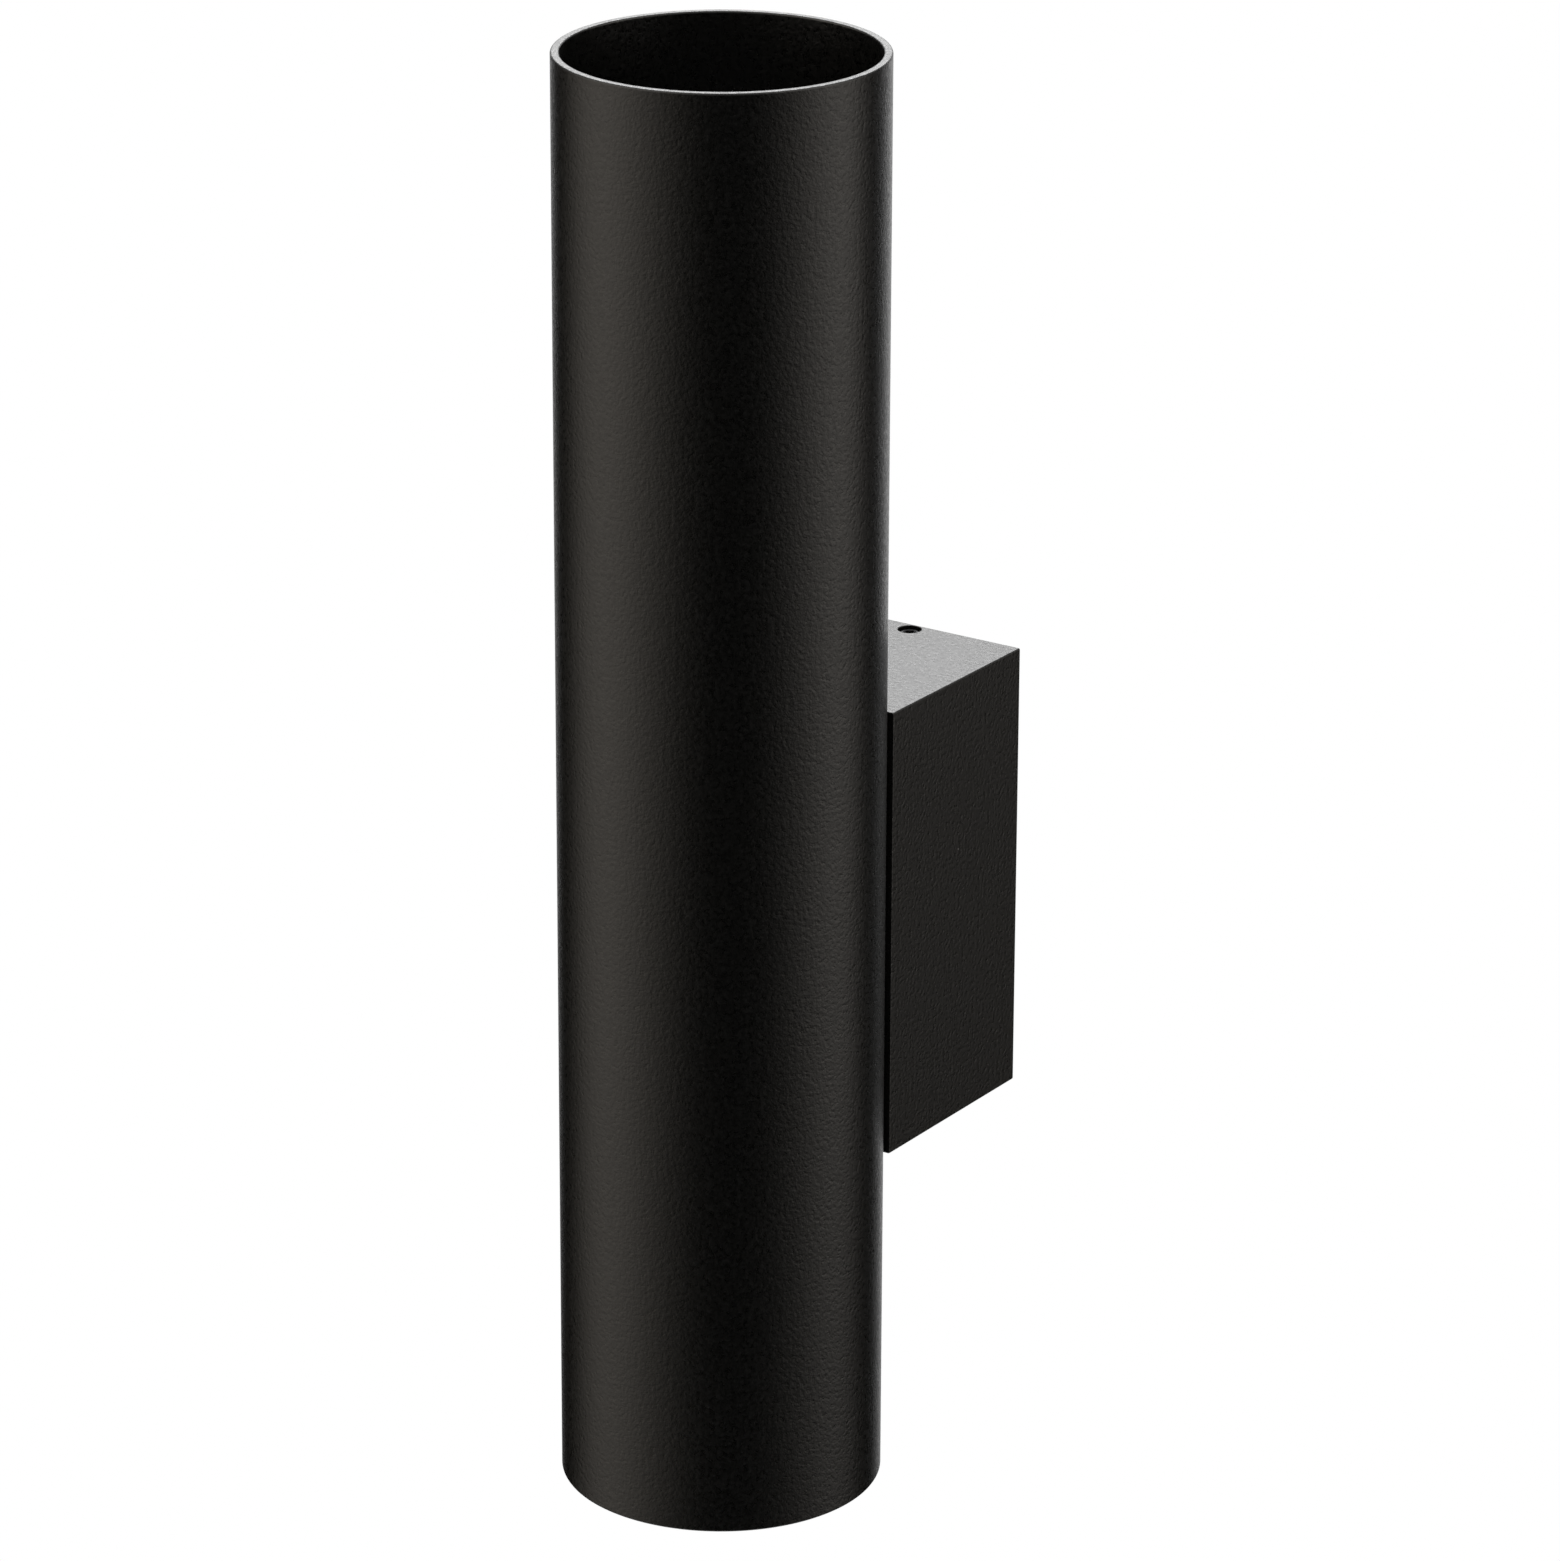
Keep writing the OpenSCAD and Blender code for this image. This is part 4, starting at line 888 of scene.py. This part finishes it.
class TUBE_LIGHT_OT_lampholders(bpy.types.Operator):
    """Both lampholders with their contacts, screws and nuts"""

    bl_idname = "tube_light.lampholders"
    bl_label = "Lampholders"

    def execute(self, context):
        for name, place in (("upper", facing_up), ("lower", facing_down)):
            piece(name + "_steatite", place(lampholder()), "fixture", "steatite", name + "_lampholder")
            contacts = [moved(turned([(0, 15.2), (1.3, 15.2, 0.2), (1.3, 19.2, 0.2), (1.1, 19.2), (1.1, 30.2),
                                      (2.4, 30.2, 0.1), (2.4, 31.2, 0.3), (0, 31.2)], 40), (x, 0, 0))
                        for x in (-PIN_SHIFT, PIN_SHIFT)]
            piece(name + "_spring_contacts", place(together(*contacts)), "fixture", "nickel_brass",
                  name + "_contacts")
            screws = [moved(slotted_screw(1.5, 17.5, 2.8, 2.0, 0.5), (0, y, 35.2), (0, 0, turn))
                      for y, turn in ((-HOLDER_SCREW_SHIFT, -50), (HOLDER_SCREW_SHIFT, 25))]
            piece(name + "_long_screws", place(together(*screws)), "fixture", "zinc_fastener",
                  name + "_holder_screws")
        nuts = [place(moved(worked(hexagon(5.5, 18.3, 20.7), [rod(1.55, 17, 22, 0, 32)]), (0, y, 0)))
                for place in (facing_up, facing_down) for y in (-HOLDER_SCREW_SHIFT, HOLDER_SCREW_SHIFT)]
        piece("small_nuts", together(*nuts), "fixture", "zinc_fastener", "holder_nuts")
        return {"FINISHED"}


# Lamps


def lamp_shell():
    """Moulded body: narrow base, cone and rim, hollowed to a bowl in front, with sockets for the pins."""
    body = turned([
        (0, LAMP_BACK), (12.5, LAMP_BACK, 0.8), (12.5, LAMP_BACK + 4), (12.1, LAMP_BACK + 4.3),
        (12.1, LAMP_BACK + 5.1), (12.5, LAMP_BACK + 5.4), (12.5, LAMP_BACK + 10, 0.8),
        (25, LAMP_FRONT - 8, 1.0), (25, LAMP_FRONT, 0.8), (22.6, LAMP_FRONT, 0.2), (22.6, LENS_SEAT),
        (21, LENS_SEAT, 0.2), (13.5, BOWL_FLOOR, 0.3), (0, BOWL_FLOOR),
    ], 128)
    sockets = [moved(rod(1.55, LAMP_BACK - OVER, LAMP_BACK + 3, 0, 32), (x, 0, 0))
               for x in (-PIN_SHIFT, PIN_SHIFT)]
    return worked(body, sockets)


def lamp_board():
    """Round board with six light chips; the chips carry an attribute that colours their phosphor."""
    board = turned([(0, BOWL_FLOOR), (13, BOWL_FLOOR), (13, BOWL_FLOOR + 1.6, 0.1), (0, BOWL_FLOOR + 1.6)], 96)
    shapes = [board]
    for i in range(6):
        chip = block((8 - 1.4, -1.4, BOWL_FLOOR + 1.5), (8 + 1.4, 1.4, BOWL_FLOOR + 2.2), 0.12)
        shapes.append(moved(chip, turn=(0, 0, 60 * i)))
    return together(*shapes), BOWL_FLOOR + 2.15


class TUBE_LIGHT_OT_lamps(bpy.types.Operator):
    """Both lamps: shell, board with chips, frosted lens and pins"""

    bl_idname = "tube_light.lamps"
    bl_label = "Lamps"

    def execute(self, context):
        for name, place in (("upper", facing_up), ("lower", facing_down)):
            body = name + "_lamp"
            piece(name + "_shell", place(lamp_shell()), body, "lamp_shell", name + "_lamp_body")
            board, chip_top = lamp_board()
            tops = [v.co.z > chip_top for v in board.verts]
            obj = piece(name + "_light_board", place(board), body, "lamp_board", name + "_lamp_board")
            mask = obj.data.attributes.new("chip", "FLOAT", "POINT")
            mask.data.foreach_set("value", [float(t) for t in tops])
            lens = turned([(0, LENS_SEAT), (22.5, LENS_SEAT, 0.2), (22.5, LENS_SEAT + 1.2, 0.25),
                           *((22.5 * k / 8, LENS_SEAT + 2 - 0.8 * (k / 8) ** 2) for k in range(7, 0, -1)),
                           (0, LENS_SEAT + 2)], 128)
            piece(name + "_frosted_lens", place(lens), body, "lamp_lens", name + "_lamp_lens")
            pins = [moved(turned([(0, 31.5), (2.4, 31.5, 0.4), (2.4, 34.3, 0.3), (1.5, 34.3), (1.5, 41.5, 0.2),
                                  (0, 41.5)], 48), (x, 0, 0)) for x in (-PIN_SHIFT, PIN_SHIFT)]
            piece(name + "_turned_pins", place(together(*pins)), body, "nickel_brass", name + "_lamp_pins")
        return {"FINISHED"}


# Leads


def arc(a, a_way, a_reach, b, b_way, b_reach, steps=22):
    """Points along a curve that leaves a and b along their ways."""
    near, far = a + a_way * a_reach, b + b_way * b_reach
    points = []
    for i in range(steps + 1):
        t = i / steps
        points.append((1 - t) ** 3 * a + 3 * t * (1 - t) ** 2 * near + 3 * t * t * (1 - t) * far + t ** 3 * b)
    return points


def sleeve(points, radius=LEAD_D / 2, sides=16):
    """A round sleeve along points; its UV runs round it in u and along it in v."""
    bm = bmesh.new()
    bm.loops.layers.uv.verify()
    bmesh.ops.create_grid(bm, x_segments=sides, y_segments=len(points) - 1, size=0.5, calc_uvs=True,
                          matrix=Matrix.Identity(4))
    last = len(points) - 1
    ways = [(points[min(i + 1, last)] - points[max(i - 1, 0)]).normalized() for i in range(last + 1)]
    across = [ways[0].orthogonal().normalized()]
    for a, b in zip(ways, ways[1:]):
        across.append((a.rotation_difference(b) @ across[-1]).normalized())
    for v in bm.verts:
        i, turn = round((v.co.y + 0.5) * last), (v.co.x + 0.5) * math.tau
        side = across[i]
        v.co = points[i] + radius * (math.cos(turn) * side + math.sin(turn) * ways[i].cross(side))
    bmesh.ops.remove_doubles(bm, verts=bm.verts, dist=1e-4)
    bmesh.ops.holes_fill(bm, edges=[e for e in bm.edges if e.is_boundary], sides=sides)
    bmesh.ops.recalc_face_normals(bm, faces=bm.faces)
    return bm


def holder_route(side, rank):
    """From a crimp behind a lampholder, through the nipple, to a ferrule in the terminal block."""
    y, z = Vector((0, 1, 0)), Vector((0, 0, 1))
    slot = 2.0 / math.sqrt(2)
    crimp = Vector((side * PIN_SHIFT, AXIS_Y, STRAP_Z + rank * 15.2))
    in_mouth = Vector((side * slot, -42.461, NIPPLE_Z + rank * slot))
    out_mouth = Vector((side * slot, -23.0, NIPPLE_Z + rank * slot))
    ferrule = Vector((side * (10 + rank * 1.3), CLAMP_Y, 18))
    return [crimp,
            *arc(crimp - z * rank * LEAD_D, -z * rank, 9, in_mouth, -y, 9),
            *arc(out_mouth, y, 10, ferrule + z * LEAD_D, z, 22 + rank * 2),
            ferrule]


def square_ended(a, a_way, a_reach, b, b_way, b_reach):
    """A route that leaves both ends square for one lead diameter and curves between."""
    return [a, *arc(a + a_way * LEAD_D, a_way, a_reach, b + b_way * LEAD_D, b_way, b_reach), b]


class TUBE_LIGHT_OT_leads(bpy.types.Operator):
    """Round sleeved leads. Those that cross from the wall to the fixture curve from one to the other and are
    put on no body
    """

    bl_idname = "tube_light.leads"
    bl_label = "Leads"

    def execute(self, context):
        up, out = Vector((0, 0, 1)), Vector((0, 1, 0))
        routes = {
            "upper_live": (holder_route(1, 1), "brown_sleeving"),
            "upper_neutral": (holder_route(-1, 1), "blue_sleeving"),
            "lower_live": (holder_route(1, -1), "brown_sleeving"),
            "lower_neutral": (holder_route(-1, -1), "blue_sleeving"),
            "fixture_earth": (square_ended(Vector((0, -21, 31.6)), out, 14, Vector((0, CLAMP_Y, 18)), up, 20),
                              "green_yellow_sleeving"),
        }
        for name, (route, finish) in routes.items():
            obj = piece(name + "_sleeve", sleeve(route), None, finish, name + "_lead")
            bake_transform(obj)
        route = square_ended(Vector((EARTH_X, -4.3, -14.89)), up, 5, Vector((0, CLAMP_Y, -7)), -up, 5)
        piece("plate_earth_sleeve", sleeve(route), "wall_side", "green_yellow_sleeving", "plate_earth_lead")
        return {"FINISHED"}


# Stage


# Camera fitted to the edges in the photograph: place, way back from the object, roll and focal length
EYE = Vector((0.59179, -0.925183, 0.419792))
BACK = Vector((0.52192, -0.778469, 0.348692)).normalized()
ROLL = 0.00347
FOCAL_LENGTH = 154.987
# Azimuth of the camera from straight ahead; azimuths below are counted from it, positive to the right
AHEAD = math.atan2(BACK.x, -BACK.y)
# The soft boxes aim at the middle of the object
MIDDLE = Vector((0, AXIS_Y / MM, 0.03))
# Floor in metres: its height, its radius, and how far out it starts to fade and is gone
FLOOR_Z = -0.6
FLOOR_RADIUS = 0.45
FLOOR_FADE = (0.2, 0.44)
# Glow that only the camera sees on the floor
FLOOR_LIFT = 0.18

# Soft boxes: name, azimuth in degrees, distance, height, width, upright size, radiance, tint
SOFT_BOXES = (
    ("left_box", -83, 1.2, -0.05, 0.9, 1.7, 0.1, (1.0, 0.955, 0.9)),
    ("right_box", 84, 1.2, -0.05, 0.7, 1.7, 0.1, (1.0, 0.97, 0.94)),
    ("back_box", 180, 1.6, 1.15, 1.1, 1.1, 5.0, (1.0, 1.0, 1.0)),
)
# Large soft reflectors that gloss sees beside the camera, by azimuth in degrees: where they rise from and
# to, fall from and to, the z of the way down at which they fade out and are full, level and tint
REFLECTORS = (
    ((-10, -82), (-84, -134), (-0.9, 0.0), 1.38, (1.0, 0.92, 0.82, 1.0)),
    ((24, 92), (90, 117), (-0.5, -0.22), 1.5, (1.0, 0.94, 0.87, 1.0)),
)
# White backdrop that gloss sees: the way to its middle, in the frame turned with the camera, and the cosines
# of the angles from there at which it is gone (39 degrees) and full (18 degrees)
BACKDROP_WAY = (0.12, 0.993, 0)
BACKDROP_EDGE = (0.78, 0.95)
# Pale ceiling and floor that gloss sees: the z of the way at which each starts and is full, and its level
CEILING_AND_FLOOR = ((-0.2, 0.95, 0.6), (-0.62, -0.9, 0.45))
# Level of the world for matt surfaces
AMBIENT = 0.75


def place_camera(scene):
    """Camera at the photograph's viewing angle."""
    right = Vector((-BACK.y, BACK.x, 0)).normalized()
    up = BACK.cross(right)
    right, up = math.cos(ROLL) * right + math.sin(ROLL) * up, math.cos(ROLL) * up - math.sin(ROLL) * right
    camera = bpy.data.cameras.new("camera")
    camera.lens, camera.sensor_width, camera.clip_start, camera.clip_end = FOCAL_LENGTH, 36.0, 0.05, 20.0
    eye = bpy.data.objects.new("camera", camera)
    eye.matrix_world = Matrix.Translation(EYE) @ Matrix((right, up, BACK)).transposed().to_4x4()
    scene.collection.objects.link(eye)
    scene.camera = eye


def place_soft_boxes(scene):
    """Area lamps round the object; the camera doesn't see them."""
    for name, azimuth, far, height, wide, tall, radiance, colour in SOFT_BOXES:
        angle = AHEAD + math.radians(azimuth)
        spot = MIDDLE + Vector((math.sin(angle) * far, -math.cos(angle) * far, height))
        lamp = bpy.data.lights.new(name, "AREA")
        lamp.shape, lamp.size, lamp.size_y, lamp.color = "RECTANGLE", wide, tall, colour
        lamp.energy = radiance * wide * tall * math.pi
        obj = bpy.data.objects.new(name, lamp)
        obj.matrix_world = (spot - MIDDLE).to_track_quat("Z", "Y").to_matrix().to_4x4()
        obj.location = spot
        obj.visible_camera = False
        scene.collection.objects.link(obj)


def make_world(scene):
    """White for the camera and even for matt surfaces. Gloss sees white behind the object, dark in front, a
    paler ceiling and floor, and a reflector at each side."""
    world = bpy.data.worlds.new("studio")
    world.use_nodes = True
    tree = world.node_tree
    tree.nodes.clear()
    way = add_node(tree, "Mapping", {"Rotation": (0, 0, -AHEAD)}, {"Vector": add_node(tree, "TexCoord")})
    across = add_node(tree, "SeparateXYZ", {}, {0: way})
    away, high = across.node.outputs["Y"], across.node.outputs["Z"]
    toward = add_node(tree, "Math", {"operation": "MULTIPLY", 1: -1.0}, {0: away})
    turn = add_node(tree, "Math", {"operation": "ARCTAN2"}, {0: across, 1: toward})
    azimuth = add_node(tree, "Math", {"operation": "DEGREES"}, {0: turn})

    camera_ray = add_node(tree, "LightPath", out="Is Camera Ray")
    path = camera_ray.node.outputs
    mirrored = add_node(tree, "Math", {"operation": "MAXIMUM"}, {
        0: path["Is Glossy Ray"], 1: path["Is Transmission Ray"]})

    behind = add_node(tree, "VectorMath", {"operation": "DOT_PRODUCT", 1: BACKDROP_WAY}, {0: way}, "Value")
    gloss = add_node(tree, "MapRange", {"interpolation_type": "SMOOTHSTEP", "From Min": BACKDROP_EDGE[0],
                                        "From Max": BACKDROP_EDGE[1]}, {"Value": behind})
    for start, end, top in CEILING_AND_FLOOR:
        part = add_node(tree, "MapRange", {"interpolation_type": "SMOOTHSTEP", "From Min": start,
                                           "From Max": end, "To Max": top}, {"Value": high})
        gloss = add_node(tree, "Math", {"operation": "MAXIMUM"}, {0: gloss, 1: part})
    level = add_node(tree, "Mix", {"data_type": "FLOAT", 2: AMBIENT}, {0: mirrored, 3: gloss})
    level = add_node(tree, "Mix", {"data_type": "FLOAT", 3: 1.0}, {0: camera_ray, 2: level})
    light = add_node(tree, "Background", {"Color": (1, 1, 1, 1)}, {"Strength": level})

    for rise, fall, fade, radiance, colour in REFLECTORS:
        strength = mirrored
        edges = ((azimuth, rise, radiance), (azimuth, fall[::-1], 1.0), (high, fade, 1.0))
        for value, (start, end), top in edges:
            edge = add_node(tree, "MapRange", {"interpolation_type": "SMOOTHSTEP", "From Min": start,
                                               "From Max": end, "To Max": top}, {"Value": value})
            strength = add_node(tree, "Math", {"operation": "MULTIPLY"}, {0: strength, 1: edge})
        panel = add_node(tree, "Background", {"Color": colour}, {"Strength": strength})
        light = add_node(tree, "AddShader", links={0: light, 1: panel})
    add_node(tree, "OutputWorld", links={"Surface": light})
    world.cycles.sampling_method = "NONE"
    scene.world = world


def lay_floor(scene):
    """Pale matt floor far below the light; it fades to nothing at its rim and is clear from below."""
    floor = bmesh.new()
    bmesh.ops.create_circle(floor, cap_ends=True, segments=96, radius=FLOOR_RADIUS)
    bmesh.ops.translate(floor, vec=(0, AXIS_Y / MM, FLOOR_Z), verts=floor.verts)
    mesh = bpy.data.meshes.new("floor")
    floor.to_mesh(mesh)
    floor.free()
    obj = bpy.data.objects.new("floor", mesh)
    scene.collection.objects.link(obj)

    material, tree, place = new_material("pale_matt_floor")
    offset = add_node(tree, "VectorMath", {"operation": "DISTANCE", 1: (0, AXIS_Y / MM, FLOOR_Z)}, {0: place},
                      "Value")
    fade = add_node(tree, "MapRange", {"interpolation_type": "SMOOTHSTEP", "From Min": FLOOR_FADE[0],
                                       "From Max": FLOOR_FADE[1]}, {"Value": offset})
    below = add_node(tree, "NewGeometry", out="Backfacing")
    clear = add_node(tree, "Math", {"operation": "MAXIMUM"}, {0: fade, 1: below})
    # Clouds of the paint, 25 mm
    cloud = add_node(tree, "TexNoise", {"Scale": MM / 25, "Detail": 3.0}, {"Vector": place})
    paint = add_node(tree, "Mix", {"data_type": "RGBA", 6: linear("#efefed"), 7: linear("#f6f6f4")},
                     {0: cloud}, 2)
    matt = add_node(tree, "BsdfDiffuse", {}, {"Color": paint})
    # The camera sees it as white as the backdrop
    camera_ray = add_node(tree, "LightPath", out="Is Camera Ray")
    lift = add_node(tree, "Math", {"operation": "MULTIPLY", 1: FLOOR_LIFT}, {0: camera_ray})
    glow = add_node(tree, "Emission", {"Color": (1, 1, 1, 1)}, {"Strength": lift})
    lit = add_node(tree, "AddShader", links={0: matt, 1: glow})
    mixed = add_node(tree, "MixShader", {}, {0: clear, 1: lit, 2: add_node(tree, "BsdfTransparent")})
    add_node(tree, "OutputMaterial", links={"Surface": mixed})
    mesh.materials.append(material)


class TUBE_LIGHT_OT_stage(bpy.types.Operator):
    """Camera at the photograph's angle, soft boxes, white studio world and pale floor"""

    bl_idname = "tube_light.stage"
    bl_label = "Stage"

    def execute(self, context):
        context.scene.view_settings.view_transform = "Standard"
        place_camera(context.scene)
        place_soft_boxes(context.scene)
        make_world(context.scene)
        lay_floor(context.scene)
        return {"FINISHED"}


# Add-on


OPERATORS = (
    TUBE_LIGHT_OT_stage, TUBE_LIGHT_OT_finishes, TUBE_LIGHT_OT_tube, TUBE_LIGHT_OT_wall_box,
    TUBE_LIGHT_OT_lock_screws, TUBE_LIGHT_OT_mounting_plate, TUBE_LIGHT_OT_terminals, TUBE_LIGHT_OT_nipple,
    TUBE_LIGHT_OT_strap, TUBE_LIGHT_OT_lampholders, TUBE_LIGHT_OT_lamps, TUBE_LIGHT_OT_leads,
)


class TUBE_LIGHT_PT_panel(bpy.types.Panel):
    """Sizes, colours and the steps that build the light"""

    bl_idname = "TUBE_LIGHT_PT_panel"
    bl_label = "Tube Wall Light"
    bl_space_type = "VIEW_3D"
    bl_region_type = "UI"
    bl_category = "Tube Light"

    def draw(self, context):
        for step in OPERATORS:
            self.layout.operator(step.bl_idname)
        for group in (context.scene.tube_light_sizes, context.scene.tube_light_colours):
            column = self.layout.column(align=True)
            for name in type(group).__annotations__:
                column.prop(group, name)


CLASSES = (TubeLightSizes, TubeLightColours, *OPERATORS, TUBE_LIGHT_PT_panel)


def register():
    for cls in CLASSES:
        bpy.utils.register_class(cls)
    bpy.types.Scene.tube_light_sizes = PointerProperty(type=TubeLightSizes)
    bpy.types.Scene.tube_light_colours = PointerProperty(type=TubeLightColours)


def unregister():
    del bpy.types.Scene.tube_light_sizes
    del bpy.types.Scene.tube_light_colours
    for cls in reversed(CLASSES):
        bpy.utils.unregister_class(cls)


def main():
    """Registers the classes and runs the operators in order."""
    register()
    for step in OPERATORS:
        name = step.bl_idname.split(".")[1]
        getattr(bpy.ops.tube_light, name)()


if __name__ == "__main__":
    main()
